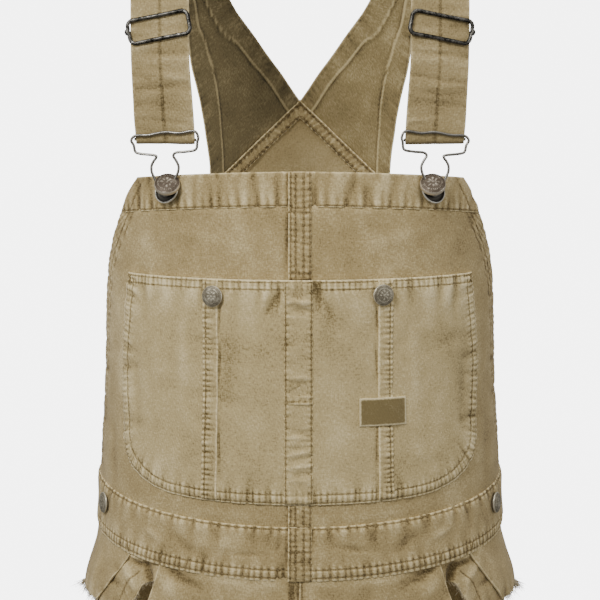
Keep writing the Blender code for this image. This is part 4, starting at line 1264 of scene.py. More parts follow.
METALS = {
    # name: dark and bright shades, rub, share of bare metal
    "dark metal": ((24, 23, 21), (170, 166, 156), -0.28, 1.0),
    "wire metal": ((66, 62, 56), (160, 156, 146), 0.0, 1.0),
    "antique metal": ((80, 68, 54), (206, 194, 172), -0.14, 0.5),
    "tack metal": ((104, 96, 78), (192, 184, 162), 0.0, 0.5),
    "rim metal": ((60, 56, 48), (206, 202, 188), 0.10, 0.6),
}


def metal_mesh(name, nodes, points, faces, finish, wear_and_shading):
    """A metal piece from points in millimetres and faces, with its rubbed places, painted highlights and
    painted shade.
    """
    item = mesh_item(name, points, faces, finish, wear_and_shading)
    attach(item, BODY)
    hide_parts(*nodes)
    return item


def wire_mesh(name, nodes, path, radius, finish, closed=True, sides=14):
    """A bent wire: a circle swept along a path that lies nearly upright."""
    if closed:
        ahead = np.roll(path, -1, axis=0) - np.roll(path, 1, axis=0)
    else:
        ahead = np.gradient(path, axis=0)
    ahead = ahead / np.linalg.norm(ahead, axis=-1, keepdims=True)
    side = np.cross(ahead, (0.0, -1.0, 0.0))
    side = side / np.linalg.norm(side, axis=-1, keepdims=True)
    front = np.cross(side, ahead)
    turns = np.arange(sides) * 2 * math.pi / sides
    thick = np.broadcast_to(radius, len(path))[:, None, None]
    ring = np.cos(turns)[:, None] * side[:, None] + np.sin(turns)[:, None] * front[:, None]
    points = path[:, None] + thick * ring
    if not closed:
        ends = path[[0, -1]][:, None] + 0 * points[:2]
        points = np.concatenate([ends[:1], points, ends[1:]])
    index = np.arange(points.shape[0] * sides).reshape(-1, sides)
    if closed:
        index = np.concatenate([index, index[:1]])
    round_on = np.roll(index, -1, axis=1)
    quads = np.stack([index[:-1], round_on[:-1], round_on[1:], index[1:]], -1).reshape(-1, 4)
    # Painted highlight and shade: one side of the wire is lighter all along, the opposite side darker
    rub = np.cos(turns - 1.3)[None, :] * 0.5 + 0 * points[..., 0]
    return metal_mesh(name, nodes, points.reshape(-1, 3), quads, finish, rub)


def strap_front(distance, height):
    """Depth of the strap's front face on the chest, at a distance from the centre plane and a height."""
    y, z, outer, inner, _ = strap_path(STRAP_SAMPLES)
    chest = slice(110, 200)
    middle = np.interp(-height, -z[chest], y[chest])
    line = np.interp(-height, -z[chest], 0.5 * (outer + inner)[chest])
    return middle - STRAP_CLOTH + CHEST_LEAN * (distance - line)


def make_sliders(finish):
    """The slider rings, each with the knob of its weld on the outer short side, and their hidden bars."""
    long, high, corner = SLIDER_LENGTH - SLIDER_WIRE, SLIDER_HEIGHT - SLIDER_WIRE, SLIDER_CORNER - 0.6
    bend = np.radians(np.linspace(0, 90, 12))
    outline = []
    for x_way, z_way, turn in ((1, 1, 0.0), (-1, 1, 90.0), (-1, -1, 180.0), (1, -1, 270.0)):
        arc = bend + math.radians(turn)
        outline.append(np.stack([x_way * (long / 2 - corner) + corner * np.cos(arc),
                                 z_way * (high / 2 - corner) + corner * np.sin(arc)], -1))
    outline = np.concatenate(outline)
    outline = even(np.concatenate([outline, outline[:1]]), 181)[:-1]
    knob = np.exp(-(np.hypot(outline[:, 0] - long / 2, outline[:, 1] - 0.6) / 1.3) ** 4)
    bowed = 0.25 * np.cos(outline[:, 0] / long * math.pi) * np.sign(outline[:, 1])
    across = outline + np.stack([1.1 * knob, -bowed], -1)
    tilt = -math.radians(SLIDER_TILT)
    distance = across[:, 0] * math.cos(tilt) - across[:, 1] * math.sin(tilt) + SLIDER_CENTRE[0]
    height = across[:, 0] * math.sin(tilt) + across[:, 1] * math.cos(tilt) + SLIDER_CENTRE[1]
    depth = strap_front(distance, height) - GAP - SLIDER_WIRE / 2
    share = np.linspace(-0.5, 0.5, 24)
    bar_distance = SLIDER_CENTRE[0] + share * BAR_LENGTH * math.cos(tilt)
    bar_height = SLIDER_CENTRE[1] + share * BAR_LENGTH * math.sin(tilt)
    bar_depth = strap_front(bar_distance, bar_height) + STRAP_CLOTH + FOLD_RADIUS
    for name, side in SIDES:
        wire_mesh("slider_ring_" + name, ["slider_" + name], np.stack([side * distance, depth, height], -1),
                  SLIDER_WIRE / 2 * (1 + 0.30 * knob), finish["dark metal"])
        bar = np.stack([side * bar_distance, bar_depth, bar_height], -1)
        wire_mesh("slider_rod_" + name, ["slider_bar_" + name], bar, BAR_RADIUS, finish["dark metal"],
                  closed=False)


def make_buckles(finish):
    """The wire buckles, each a closed loop smoothed through its bends, and the bars in the straps' folds."""
    route = np.array(BUCKLE_ROUTE, dtype=float)
    closed = np.concatenate([route[-3:], route, route[:4]])
    steps = np.linspace(3, len(route) + 3, 241)[:-1]
    out, height, ahead = [catmull(steps, column) for column in closed.T]
    depth = BUCKLE_PLANE + CHEST_LEAN * out - ahead
    share = np.linspace(-0.5, 0.5, 24)
    bar_distance = BUCKLE_LINE + share * BAR_LENGTH
    bar_height = BUCKLE_BAR_LEVEL + 0 * share
    bar_depth = strap_front(bar_distance, bar_height) + STRAP_CLOTH + FOLD_RADIUS
    for name, side in SIDES:
        wire_mesh("buckle_wire_" + name, ["buckle_" + name],
                  np.stack([side * (BUCKLE_LINE + out), depth, height], -1), BUCKLE_WIRE_RADIUS,
                  finish["wire metal"], sides=12)
        bar = np.stack([side * bar_distance, bar_depth, bar_height], -1)
        wire_mesh("buckle_rod_" + name, ["buckle_bar_" + name], bar, BAR_RADIUS, finish["dark metal"],
                  closed=False, sides=12)


def catmull(steps, column):
    """A Catmull-Rom curve through numbers at whole steps."""
    index = np.clip(np.floor(steps).astype(int), 1, len(column) - 3)
    t = steps - index
    before, here, after, beyond = [column[index + shift] for shift in (-1, 0, 1, 2)]
    return here + 0.5 * t * (after - before + t * (2 * before - 5 * here + 4 * after - beyond
                                                   + t * (3 * (here - after) + beyond - before)))


def rosette(radius, turn, size, seed):
    """Relief of a button's face: a ring of beads, eight petals round a knob, and grains strewn between."""
    share = radius / size
    beads = np.clip(np.cos(28 * turn), 0, 1) * np.exp(-((share - 0.80) / 0.055) ** 2)
    petals = (0.5 + 0.5 * np.cos(8 * turn)) * np.exp(-((share - 0.40) / 0.15) ** 2)
    knob = np.exp(-(share / 0.12) ** 2)
    rng = np.random.default_rng(seed)
    grains = 0.0
    for _ in range(70):
        far, at = size * math.sqrt(rng.uniform(0.0, 0.9)), rng.uniform(0, 2 * math.pi)
        gap = np.hypot(radius * np.cos(turn) - far * math.cos(at), radius * np.sin(turn) - far * math.sin(at))
        grains = grains + rng.uniform(-1.0, 1.0) * np.exp(-(gap / (0.055 * size)) ** 2)
    return 0.9 * beads + 0.9 * petals + 0.8 * knob + 0.75 * grains * (share < 0.95)


def turned_mesh(name, nodes, profile, scale, foot, axis, face, seed, finish, relief=0.22, sides=56):
    """A turned piece, its profile rounded and swept round its axis, with the rosette up to a radius."""
    rows = np.array(profile, dtype=float) * scale
    run = np.concatenate([[0.0], np.cumsum(np.hypot(*np.diff(rows, axis=0).T))])
    steps = np.linspace(0, run[-1], 64)
    radius, height = np.interp(steps, run, rows[:, 0]), np.interp(steps, run, rows[:, 1])
    for _ in range(2):
        radius[1:-1] = 0.25 * (radius[:-2] + 2 * radius[1:-1] + radius[2:])
        height[1:-1] = 0.25 * (height[:-2] + 2 * height[1:-1] + height[2:])
    turn = np.arange(sides)[None, :] * 2 * math.pi / sides
    crown = slice(0, np.argmax(rows[:, 0]) + 1)
    top = (steps < np.interp(face, rows[crown, 0], run[crown]))[:, None]
    pattern = rosette(radius[:, None], turn, face, seed) * top
    radius = np.maximum(radius, 0.01)
    height = height[:, None] + relief * pattern
    outward = Vector(axis).to_track_quat("Z", "Y").to_matrix()
    local = np.stack([radius[:, None] * np.cos(turn), radius[:, None] * np.sin(turn), height], -1)
    points = local @ np.array(outward).T + foot
    index = np.arange(points.shape[0] * sides).reshape(-1, sides)
    round_on = np.roll(index, -1, axis=1)
    quads = np.stack([index[:-1], index[1:], round_on[1:], round_on[:-1]], -1).reshape(-1, 4)
    # Painted highlight: a light band round the rim of every turned piece
    rim = np.exp(-((radius - radius.max()) / (0.05 * radius.max())) ** 2)[:, None]
    # Painted shade under the head: the base darkens inside its raised ring
    hollow = (1 - ease((radius / radius.max() - 0.84) / 0.08))[:, None] if face == 0.0 else 0.0
    # The rosette's raised relief is rubbed light
    rub = 0.75 * pattern + 1.3 * rim - 0.25 - 1.0 * hollow
    metal_mesh(name, nodes, points.reshape(-1, 3), quads, finish, rub)


def make_buttons(finish):
    """The bib buttons on their bases, the pocket buttons and the side buttons."""
    angle, level = BIB_BUTTON_PLACE
    tilt, turn = math.radians(BIB_BUTTON_TILT), math.radians(BIB_BUTTON_TURN)
    for number, (name, side) in enumerate(SIDES):
        normal = form_normal(side * angle, level)
        base = place(side * angle, level, PANEL_OUT + GAP)
        leaning = normal + np.array([0.0, 0.0, BIB_BASE_LEAN])
        turned_mesh("button_base_" + name, ["bib_button_base_" + name], BIB_BASE, 1.0,
                    base + normal * BIB_BASE_LIFT, leaning, 0.0, 3, finish["rim metal"], relief=0.0)
        axis = (side * math.sin(turn) * math.cos(tilt), -math.cos(turn) * math.cos(tilt), math.sin(tilt))
        foot = base + normal * BIB_BUTTON_FOOT + np.array(BIB_BUTTON_SHIFT) * (side, 1.0, 1.0)
        turned_mesh("button_head_" + name, ["bib_button_" + name], BIB_HEAD, 1.0, foot, axis, 8.2,
                    11 + number, finish["antique metal"])
    for number, (name, angle, level) in enumerate(POCKET_BUTTONS):
        stand = trim_stand(angle, level) + BUTTON_SEAT
        turned_mesh("button_pocket_" + name, ["pocket_button_" + name], TACK_HEAD, POCKET_BUTTON_RADIUS,
                    place(angle, level, stand), form_normal(angle, level), 6.3, 21 + number,
                    finish["tack metal"])
    for number, (name, side) in enumerate(SIDES):
        angle = side * SIDE_BUTTON_ANGLE
        turned_mesh("button_side_" + name, ["side_button_" + name], TACK_HEAD, SIDE_BUTTON_RADIUS,
                    place(angle, SIDE_BUTTON_LEVEL, WAISTBAND_OUT + BUTTON_SEAT),
                    form_normal(angle, SIDE_BUTTON_LEVEL), 6.8, 31 + number, finish["tack metal"])


# Creases of the worn cloth that show most: along the hem of the bib, over the pocket and under the waistband;
# their ridges show worn light and their troughs take painted shade
BIB_CREASES = (
    # angle, level, turn, length, width, height
    (30, -262.0, 12, 26.0, 5.0, 0.5),
    (17, -252.0, 80, 12.0, 5.0, 0.5),
    (45, -300.0, 70, 24.0, 5.0, 0.7),
    (62, -360.0, 95, 30.0, 6.0, 0.7),
    (66, -430.0, 80, 26.0, 6.0, -0.6),
    (20, -464.0, 4, 34.0, 4.0, 0.4),
)
POCKET_CREASES = (
    (-47, -300.0, 100, 12.0, 5.0, 0.8),
    (-39, -303.0, 82, 14.0, 6.0, 0.7),
    (46, -300.0, 82, 12.0, 5.0, 0.8),
    (38, -304.0, 96, 14.0, 6.0, 0.6),
    (-5.8, -304.0, 84, 9.0, 1.7, -2.2),
    (-8.0, -311.0, 62, 8.0, 1.8, -1.4),
    (-9.5, -303.0, 80, 9.0, 2.4, 1.2),
    (5.0, -303.0, 96, 9.0, 1.8, -2.2),
    (7.4, -312.0, 112, 9.0, 2.0, -1.3),
    (10.0, -303.0, 100, 9.0, 2.6, 1.2),
    (-22.5, -374.0, 90, 190.0, 0.6, -1.5),
    (21.3, -374.0, 90, 190.0, 0.6, -1.5),
    (0.0, -307.5, 0, 7.0, 1.8, 1.8),
    (0.5, -313.0, -12, 9.0, 2.2, -1.5),
    (-34, -350.0, 90, 40.0, 5.0, 0.7),
    (-20, -370.0, 90, 46.0, 5.0, -0.3),
    (33, -360.0, 92, 40.0, 5.0, 0.6),
    (-52, -380.0, 95, 34.0, 5.0, -0.6),
    (52, -380.0, 86, 34.0, 5.0, -0.6),
    (-40, -428.0, 30, 20.0, 6.0, 0.5),
    (40, -430.0, 150, 20.0, 6.0, 0.5),
)
BAND_CREASES = (
    # angle, level, turn, length, width, height
    (0.0, -380.6, -2, 9.0, 0.7, 1.6),
    (0.6, -370.0, 30, 6.0, 3.0, -1.3),
    (-0.6, -372.5, 4, 8.0, 3.0, -1.5),
    (0.8, -375.6, -6, 6.0, 1.0, 0.8),
    (-0.4, -366.0, 0, 7.5, 1.8, -0.8),
    (0.2, -362.0, 6, 7.0, 1.2, 0.6),
    (0.0, -402.0, 2, 8.0, 2.2, -0.7),
    (0.4, -406.0, -5, 8.0, 1.4, 0.7),
    (-0.2, -413.0, 4, 8.0, 2.0, -0.8),
    (0.3, -417.0, 8, 8.0, 1.3, 0.7),
    (-0.4, -421.5, 10, 8.0, 2.2, -0.9),
    (0.0, -427.0, 4, 8.0, 1.2, 0.7),
    (0.5, -432.0, 0, 6.5, 1.8, -0.6),
    (0.0, -437.0, -4, 7.0, 1.2, 0.6),
    (-0.3, -311.0, 12, 8.0, 2.0, 0.9),
    (0.2, -316.0, -8, 8.0, 2.6, -0.7),
)
FRONT_CREASES = (
    (35, -511.5, 24, 11.0, 3.0, -2.4),
    (29, -516.5, 26, 10.0, 3.4, -1.2),
    (28, -510.8, 8, 4.5, 0.8, 2.2),
    (24, -511.2, 176, 3.5, 0.8, 1.6),
    (19, -514.0, 8, 13.0, 3.0, 1.0),
    (9, -515.5, 172, 12.0, 3.0, 0.8),
    (36, -523.0, 40, 14.0, 5.0, 1.1),
    (18, -545.0, 60, 26.0, 7.0, 0.9),
    (35, -560.0, 100, 30.0, 8.0, -0.8),
    (30, -640.0, 80, 40.0, 9.0, 0.9),
    (8, -640.0, 110, 34.0, 7.0, 0.9),
    (14, -700.0, 130, 30.0, 7.0, -1.0),
)
FACING_CREASES = (
    (52.5, -504.4, 6, 5.0, 0.8, 2.2),
    (47.5, -505.4, 172, 6.0, 0.9, 1.8),
    (50.0, -508.4, 2, 10.0, 1.8, -2.6),
    (46.4, -511.0, 60, 8.0, 2.6, -3.0),
    (44.4, -518.0, 80, 7.0, 2.6, -2.6),
    (54.0, -517.0, 30, 12.0, 4.0, 1.5),
    (60.0, -526.0, 12, 10.0, 3.0, -1.2),
    (50.0, -528.0, 60, 9.0, 3.0, 1.1),
)
WAISTBAND_BARTACKS = (54.3, 41.0)
STRIP_SHADOW = (-3.55, -370.0, 90, 260.0, 0.75, -2.2)
WAIST_CREASES = (
    (-5.6, -482.0, 80, 8.0, 2.0, -1.0),
    (-14.0, -492.0, 2, 12.0, 1.2, -0.7),
    (-33.0, -488.0, 150, 14.0, 4.0, -0.9),
    (-44.0, -484.0, 160, 9.0, 3.0, 0.9),
    (-21.0, -484.0, 80, 8.0, 3.0, 0.8),
    (14.0, -488.0, 170, 14.0, 2.0, -0.7),
    (30.0, -486.0, 30, 14.0, 4.0, -0.9),
    (42.0, -482.0, 20, 9.0, 3.0, 0.9),
)
RAW_HEMS = (
    # piece, threads, longest
    ("front", 300, 8.0),
    ("facing", 260, 4.5),
    ("side", 420, 6.5),
    ("seat", 300, 8.0),
)
STRIP_BARS = {
    # name: levels of the stitched bars across the centre strip
    "upper": (-240.6, -243.4, -287.4),
    "bib": (),
    "waist": (-489.0, -496.5),
}


def pocket_face(angle, level):
    """The pocket's outer face, pressed down where it is sewn to the bib."""
    from_side = (read(POCKET_SIDE, level) - np.abs(angle)) * ARC
    from_bottom = level - pocket_bottom(angle)
    return pocket_stand(angle, level) - 1.1 * (1 - ease(np.minimum(from_side, from_bottom) / 5.0))


def trim_face(angle, level):
    """The outer face of a strip on the pocket, pressed nearly flat by its stitches."""
    return pocket_face(angle, level) + 0.75


def label_face(angle, level):
    """The label's outer face, which eases over the right strip."""
    _, first, last = POCKET_STRIPS[1]
    past_strip = np.abs(angle - 0.5 * (first + last)) - 0.5 * (last - first)
    return trim_face(angle, level) + 0.25 + 0.65 * (1 - ease((past_strip - LABEL_EASE) / LABEL_STEP))


def waist_face(angle, level):
    """The waistband's outer face, pressed down along both its edges."""
    from_edge = np.minimum(waist_level(angle, WAIST_TOP) - level, level - waist_level(angle, WAIST_BOTTOM))
    return WAISTBAND_OUT - 0.6 - 1.1 * (1 - ease(from_edge / 6.0))


def under_band(angle, level):
    """The bib's outer face, which sinks where it runs up under the top band."""
    past = level - (bib_top(angle) - TOP_BAND_HEIGHT)
    return PANEL_OUT - 0.9 * ease((past + 0.2) / 1.2)


FLY_LINES = (
    ((-1.8, -514.0), (-1.8, -620.0)),
    ((-2.7, -514.0), (-2.7, -620.0)),
)


def flipped(rows, side):
    """The same creases on the other side of the garment."""
    return rows if side > 0 else [(-row[0], row[1], 180 - row[2], *row[3:]) for row in rows]


def far_edge(side):
    """The name of a piece's outer upright edge."""
    return "end" if side > 0 else "start"


def sew_bib(finish):
    """The bib's two halves, its top hem band and the felled strips over the centre seam."""
    for name, side in SIDES:
        start, end = mirrored(side, seam_gap_angle, from_table(BIB_EDGE, -BIB_INSET))
        form_piece("bib_cloth_" + name, ["bib_" + name],
                   (start, end, lambda angle: bib_top(angle) - TOP_BAND_HEIGHT + LAP,
                    waist_line(WAIST_SEAM + HALF_GAP)),
                   under_band, CLOTH, "bib", finish["canvas"], "canvas",
                   seams=[((far_edge(side),), "side_hem"), (("top",), "under_band")],
                   creases=[*flipped(BIB_CREASES, side), STRIP_SHADOW], group="bib", seed=3 + side)
    ends = [[(side * 57.0, -246.0), (side * 54.6, -236.0), (side * 51.6, -226.5)] for _, side in SIDES]
    form_piece("bib_band_cloth", ["bib_top_band"],
               (lambda level: -read(BIB_EDGE, level), from_table(BIB_EDGE), bib_top,
                lambda angle: bib_top(angle) - TOP_BAND_HEIGHT + HALF_GAP),
               PANEL_OUT + 0.35, 2 * CLOTH, "band", finish["canvas"], "canvas",
               seams=[(("bottom",), "band"), (("top",), "band_top"), (("start",), "plain"),
                      (("end",), "plain")],
               lines=ends, creases=[STRIP_SHADOW], held="folded", group="bib", seed=9)
    strips = (
        ("upper", lambda angle: bib_top(angle) - STRIP_END_INSET, constant(POCKET_TOP + GAP),
         PANEL_OUT + 1.3),
        ("bib", lambda angle: pocket_bottom(angle) - GAP, waist_line(WAIST_TOP + GAP), PANEL_OUT + 0.9),
        ("waist", waist_line(WAIST_TOP - STRIP_END_INSET), waist_line(WAIST_BOTTOM + STRIP_END_INSET),
         lambda angle, level: waist_face(angle, level) + 0.9),
    )
    for number, (name, top, bottom, out) in enumerate(strips):
        low, high = bottom(0.0) + 1.0, top(0.0) - 1.0
        bars = [((-3.5, level), (2.7, level)) for level in STRIP_BARS[name]]
        form_piece("centre_strip_" + name, ["centre_seam_" + name],
                   (constant(CENTRE_STRIP[0]), constant(CENTRE_STRIP[1]), top, bottom),
                   out, TRIM_CLOTH, "centre strip", finish["canvas"], "canvas",
                   seams=[(("start",), "felled"), (("end",), "soft")],
                   lines=[((-1.2, low), (-1.2, high)), ((1.0, low), (1.0, high)), *bars],
                   held="laid", rests_on=["bib_cloth_left", "bib_cloth_right"], group="bib", seed=21 + number)


def sew_pocket(finish):
    """The pocket, its centre band and strips, and the bare label."""
    start, end = mirrored(-1, from_table(POCKET_SIDE), from_table(POCKET_SIDE))
    form_piece("pocket_cloth", ["bib_pocket"],
               (start, from_table(POCKET_SIDE), constant(POCKET_TOP), pocket_bottom),
               pocket_face, CLOTH, "pocket", finish["pocket canvas"], "pocket_canvas",
               seams=[(("start", "bottom", "end"), "double"), (("top",), "pocket_top")],
               creases=POCKET_CREASES, held="laid",
               rests_on=["bib_cloth_left", "bib_cloth_right"], group="pocket", seed=5)
    surface = sewn["pocket_cloth"][0]
    for _, side in SIDES:
        corner = side * 57.5 * ARC
        bartack("pocket", surface, (corner - side * 1.2, -293.2), (corner - side * 7.0, -299.6), 1.5)
        bartack("pocket", surface, (corner - side * 6.8, -293.2), (corner - side * 1.6, -299.2), 1.5)
    cross = ((POCKET_BAND[0] + 0.3, -379.4), (POCKET_BAND[1] - 0.3, -379.4))
    trims = (
        ("pocket_strip_left", *POCKET_STRIPS[0][1:], ("inner", "fold"), ()),
        ("pocket_strip_right", *POCKET_STRIPS[1][1:], ("fold", "inner"), ()),
        ("pocket_centre_band", *POCKET_BAND, ("soft", "soft"), (cross,)),
    )
    for number, (name, first, last, looks, lines) in enumerate(trims):
        form_piece(name + "_cloth", [name],
                   (constant(first), constant(last), constant(POCKET_TOP - STRIP_TOP_INSET),
                    lambda angle: pocket_bottom(angle) + STRIP_FOOT_INSET),
                   trim_face, TRIM_CLOTH, "pocket trim", finish["pocket canvas"], "pocket_canvas",
                   seams=[(("start",), looks[0]), (("end",), looks[1])], lines=lines,
                   creases=BAND_CREASES if lines else (), held="laid",
                   rests_on=["pocket_cloth"], group="pocket", seed=31 + number, follows="pocket_cloth")
    form_piece("label_cloth", ["label_patch"],
               (constant(LABEL_ANGLES[0]), constant(LABEL_ANGLES[1]), constant(LABEL_LEVELS[0]),
                constant(LABEL_LEVELS[1])),
               label_face, TRIM_CLOTH, "label", finish["label"], "label_patch",
               seams=[(("start", "bottom", "end"), "label"), (("top",), "label")],
               held="laid", rests_on=["pocket_strip_right_cloth"], group="label", seed=41)


def sew_waist(finish):
    """The waistband's two front halves and its back."""
    top, bottom = waist_line(WAIST_TOP), waist_line(WAIST_BOTTOM)
    for name, side in SIDES:
        start, end = mirrored(side, seam_gap_angle, constant(SIDE_SEAM - WAIST_SIDE_GAP))
        form_piece("waistband_cloth_" + name, ["waistband_front_" + name], (start, end, top, bottom),
                   waist_face, WAISTBAND_CLOTH, "waistband front", finish["canvas"], "canvas",
                   seams=[(("bottom",), "waist_bottom"), (("top",), "waist_top")],
                   creases=[STRIP_SHADOW, *WAIST_CREASES],
                   held="stretched", rests_on=["bib_cloth_" + name], group="waist", seed=51 + side)
        for angle in WAISTBAND_BARTACKS:
            foot = waist_level(angle, WAIST_BOTTOM)
            bartack("waist", sewn["waistband_cloth_" + name][0], (side * angle * ARC, foot + 1.6),
                    (side * (angle + 0.4) * ARC, foot + 8.6), 1.7)
    form_piece("waistband_cloth_back", ["waistband_back"],
               (constant(SIDE_SEAM + WAIST_SIDE_GAP), constant(360 - SIDE_SEAM - WAIST_SIDE_GAP), top,
                bottom),
               waist_face, WAISTBAND_CLOTH, "waistband back", finish["canvas"], "canvas",
               seams=[(("bottom",), "waist_bottom"), (("top",), "waist_top")],
               held="stretched", rests_on=["back_cloth"], group="waist", seed=57)


def sew_hips(finish):
    """Front panels, pocket facings, side pieces and seat panels."""
    top = waist_line(WAIST_SEAM - HALF_GAP)
    for name, side in SIDES:
        start, end = mirrored(side, constant(-SEAM_LAP),
                              lambda level: angle_at(read(MOUTH_EDGE, level), level))
        near = "start" if side > 0 else "end"
        form_piece("front_cloth_" + name, ["front_panel_" + name], (start, end, top, hem_from(FRONT_HEM)),
                   PANEL_OUT, CLOTH, "front", finish["canvas"], "canvas",
                   seams=[((near,), "felled"), ((far_edge(side),), "mouth"), (("bottom",), "raw")],
                   lines=FLY_LINES if side < 0 else (), creases=flipped(FRONT_CREASES, side),
                   group="hips", seed=61 + side)
        start, end = mirrored(side, constant(FACING_ANGLES[0]), constant(FACING_ANGLES[1]))
        second = [(side * 48.9, -513.9), (side * 53.4, -524.7), (side * 55.2, -535.4), (side * 56.0, -541.0)]
        form_piece("facing_cloth_" + name, ["pocket_facing_" + name], (start, end, top, hem_from(FACING_HEM)),
                   FACING_OUT, CLOTH, "facing", finish["canvas"], "canvas",
                   seams=[(("bottom",), "raw")], lines=[second], creases=flipped(FACING_CREASES, side),
                   group="hips", seed=65 + side, puff=0.2)
        start, end = mirrored(side, from_table(SIDE_PIECE_FRONT), constant(SIDE_PIECE_BACK))
        form_piece("side_cloth_" + name, ["side_piece_" + name], (start, end, top, hem_from(SIDE_PIECE_HEM)),
                   PANEL_OUT, CLOTH, "side", finish["canvas"], "canvas",
                   seams=[((near,), "mouth"), (("bottom",), "raw")], group="hips", seed=69 + side)
        start, end = mirrored(side, from_table(SEAT_SIDE), constant(180 + SEAM_LAP))
        form_piece("seat_cloth_" + name, ["seat_panel_" + name], (start, end, top, hem_from(SEAT_HEM)),
                   PANEL_OUT, CLOTH, "seat", finish["canvas"], "canvas",
                   seams=[((far_edge(side),), "felled"), (("bottom",), "raw"), ((near,), "mouth")],
                   group="hips", seed=73 + side)
        for number, (piece, count, length) in enumerate(RAW_HEMS):
            fray("threads_" + piece + "_" + name, piece + "_cloth_" + name, count, length,
                 201 + 7 * number + side, finish["fray"])
        fray("threads_clump_" + name, "side_cloth_" + name, 420, 9.0, 301 + side, finish["fray"],
             shares=(0.34, 0.60), out=0.35)


def sew_back(finish):
    """The back panel and the two diagonal felled seams over it."""
    # Its inner face takes the inside copy with painted light
    form_piece("back_cloth", ["back_panel"],
               (from_table(BACK_EDGE), lambda level: 360 - read(BACK_EDGE, level),
                lambda angle: diagonal(angle, -DIAGONAL_HALF_HEIGHT + LAP),
                waist_line(WAIST_SEAM + HALF_GAP)),
               PANEL_OUT, CLOTH, "back", finish["canvas"], "canvas", inside=finish["back inside painted light"],
               seams=[(("start",), "back_hem"), (("end",), "back_hem")], group="back", seed=81)
    for name, side in SIDES:
        start, end = sorted(180 - side * end for end in DIAGONAL_ENDS)
        out = PANEL_OUT + 0.5 * (SEAM_WALL - CLOTH) - 0.2 * side
        form_piece("back_seam_cloth_" + name, ["back_seam_" + name],
                   (constant(start), constant(end), lambda angle: diagonal(angle, DIAGONAL_HALF_HEIGHT),
                    lambda angle: diagonal(angle, -DIAGONAL_HALF_HEIGHT)),
                   out, SEAM_WALL, "back seam", finish["canvas"], "canvas",
                   seams=[(("top",), "diagonal"), (("bottom",), "diagonal")], held="folded",
                   group="back", seed=83 + side)


def table_curves(table, steps):
    """Every column of a table read at even shares of its rows."""
    rows = np.array(table, dtype=float)
    return [smooth(steps, np.linspace(0, 1, len(rows)), column) for column in rows.T]


def lifted(base, u, v, lift):
    """Points of a surface moved along its own normal, the cross product of its two slopes."""
    small = 0.004
    normal = np.cross(base(u + small, v) - base(u - small, v), base(u, v + small) - base(u, v - small))
    normal = normal / np.linalg.norm(normal, axis=-1, keepdims=True)
    return base(u, v) + normal * np.asarray(lift + 0.0 * u)[..., None]


def wing_base(u, v):
    """A back wing on +X: u runs from the outer to the inner edge, v from the diagonal seam upwards."""
    outer_x, outer_y, outer_z, inner_x, inner_y, inner_z, hug = table_curves(WING_ROWS, v)
    lap = LAP * (1 - ease(v * 5))
    outer_z, inner_z = outer_z + GAP - lap, inner_z + GAP - lap
    inner_x = inner_x - 1.4 * (1 - ease(v * 4))
    outer_angle, inner_angle = angle_at(outer_x, outer_z, True), angle_at(inner_x, inner_z, True)
    angle = outer_angle + (inner_angle - outer_angle) * u
    on_body = place(angle, outer_z + (inner_z - outer_z) * u, PANEL_OUT)
    outer, inner = np.stack([outer_x, outer_y, outer_z], -1), np.stack([inner_x, inner_y, inner_z], -1)
    straight = outer + (inner - outer) * u[..., None]
    return straight + (on_body - straight) * hug[..., None]


def sew_wings(finish):
    """The two back wings, hemmed along both edges."""
    v = np.linspace(0, 1, 121)
    width = np.linalg.norm(wing_base(0 * v, v) - wing_base(0 * v + 1, v), axis=-1)
    middle = wing_base(0 * v + 0.5, v)
    run = np.concatenate([[0.0], np.cumsum(np.linalg.norm(np.diff(middle, axis=0), axis=-1))])
    step_down, step_across, *ruck = CLOTH_GRIDS["wing"]
    for name, side in SIDES:
        def surface(s, t, lift, side=side):
            at = np.interp(t, run, v)
            return lifted(wing_base, s / np.interp(t, run, width), at, lift) * (side, 1, 1)

        t = np.linspace(run[-1], 0, int(run[-1] / step_down))[:, None]
        u = spacing(75.0, step_across, 20.0, 17.0)[None, :]
        s = u * np.interp(t, run, width)
        t = t + 0 * s
        if side < 0:
            s, t = s[:, ::-1], t[:, ::-1]
        outer = even(np.array([[0.0, run[-1]], [0.0, 0.0]]), PATH_POINTS)
        inner = even(np.stack([width, run], -1), PATH_POINTS)
        # Their inner faces take the inside copies with painted shade
        sew("wing_cloth_" + name, ["back_wing_" + name], surface, s, t,
            [(outer, "arm_hem"), (inner, "neck_hem")], CLOTH, finish["canvas"], "canvas", ruck,
            inside=finish[name + " wing inside"], group="back", seed=91 + side)


def strap_path(count):
    """The strap's path as in the frame: over the shoulder, down the chest, round the bar and back up."""
    table = np.array(STRAP_ROWS, dtype=float)
    run = np.concatenate([[0], np.cumsum(np.hypot(np.diff(table[:, 0]), np.diff(table[:, 1])))])
    front = np.stack([smooth(np.linspace(0, run[-1], count), run, c) for c in table.T])
    turns = np.linspace(0, math.pi, 13)[1:]
    fold = np.repeat(front[:, -1:], len(turns), axis=1)
    fold[0] += FOLD_RADIUS * (1 - np.cos(turns))
    fold[1] -= FOLD_RADIUS * np.sin(turns)
    back = front[:, front[1] < RETURN_TOP][:, ::-1][:, 1:]
    back[0] += 2 * FOLD_RADIUS
    return np.concatenate([front, fold, back], axis=1)


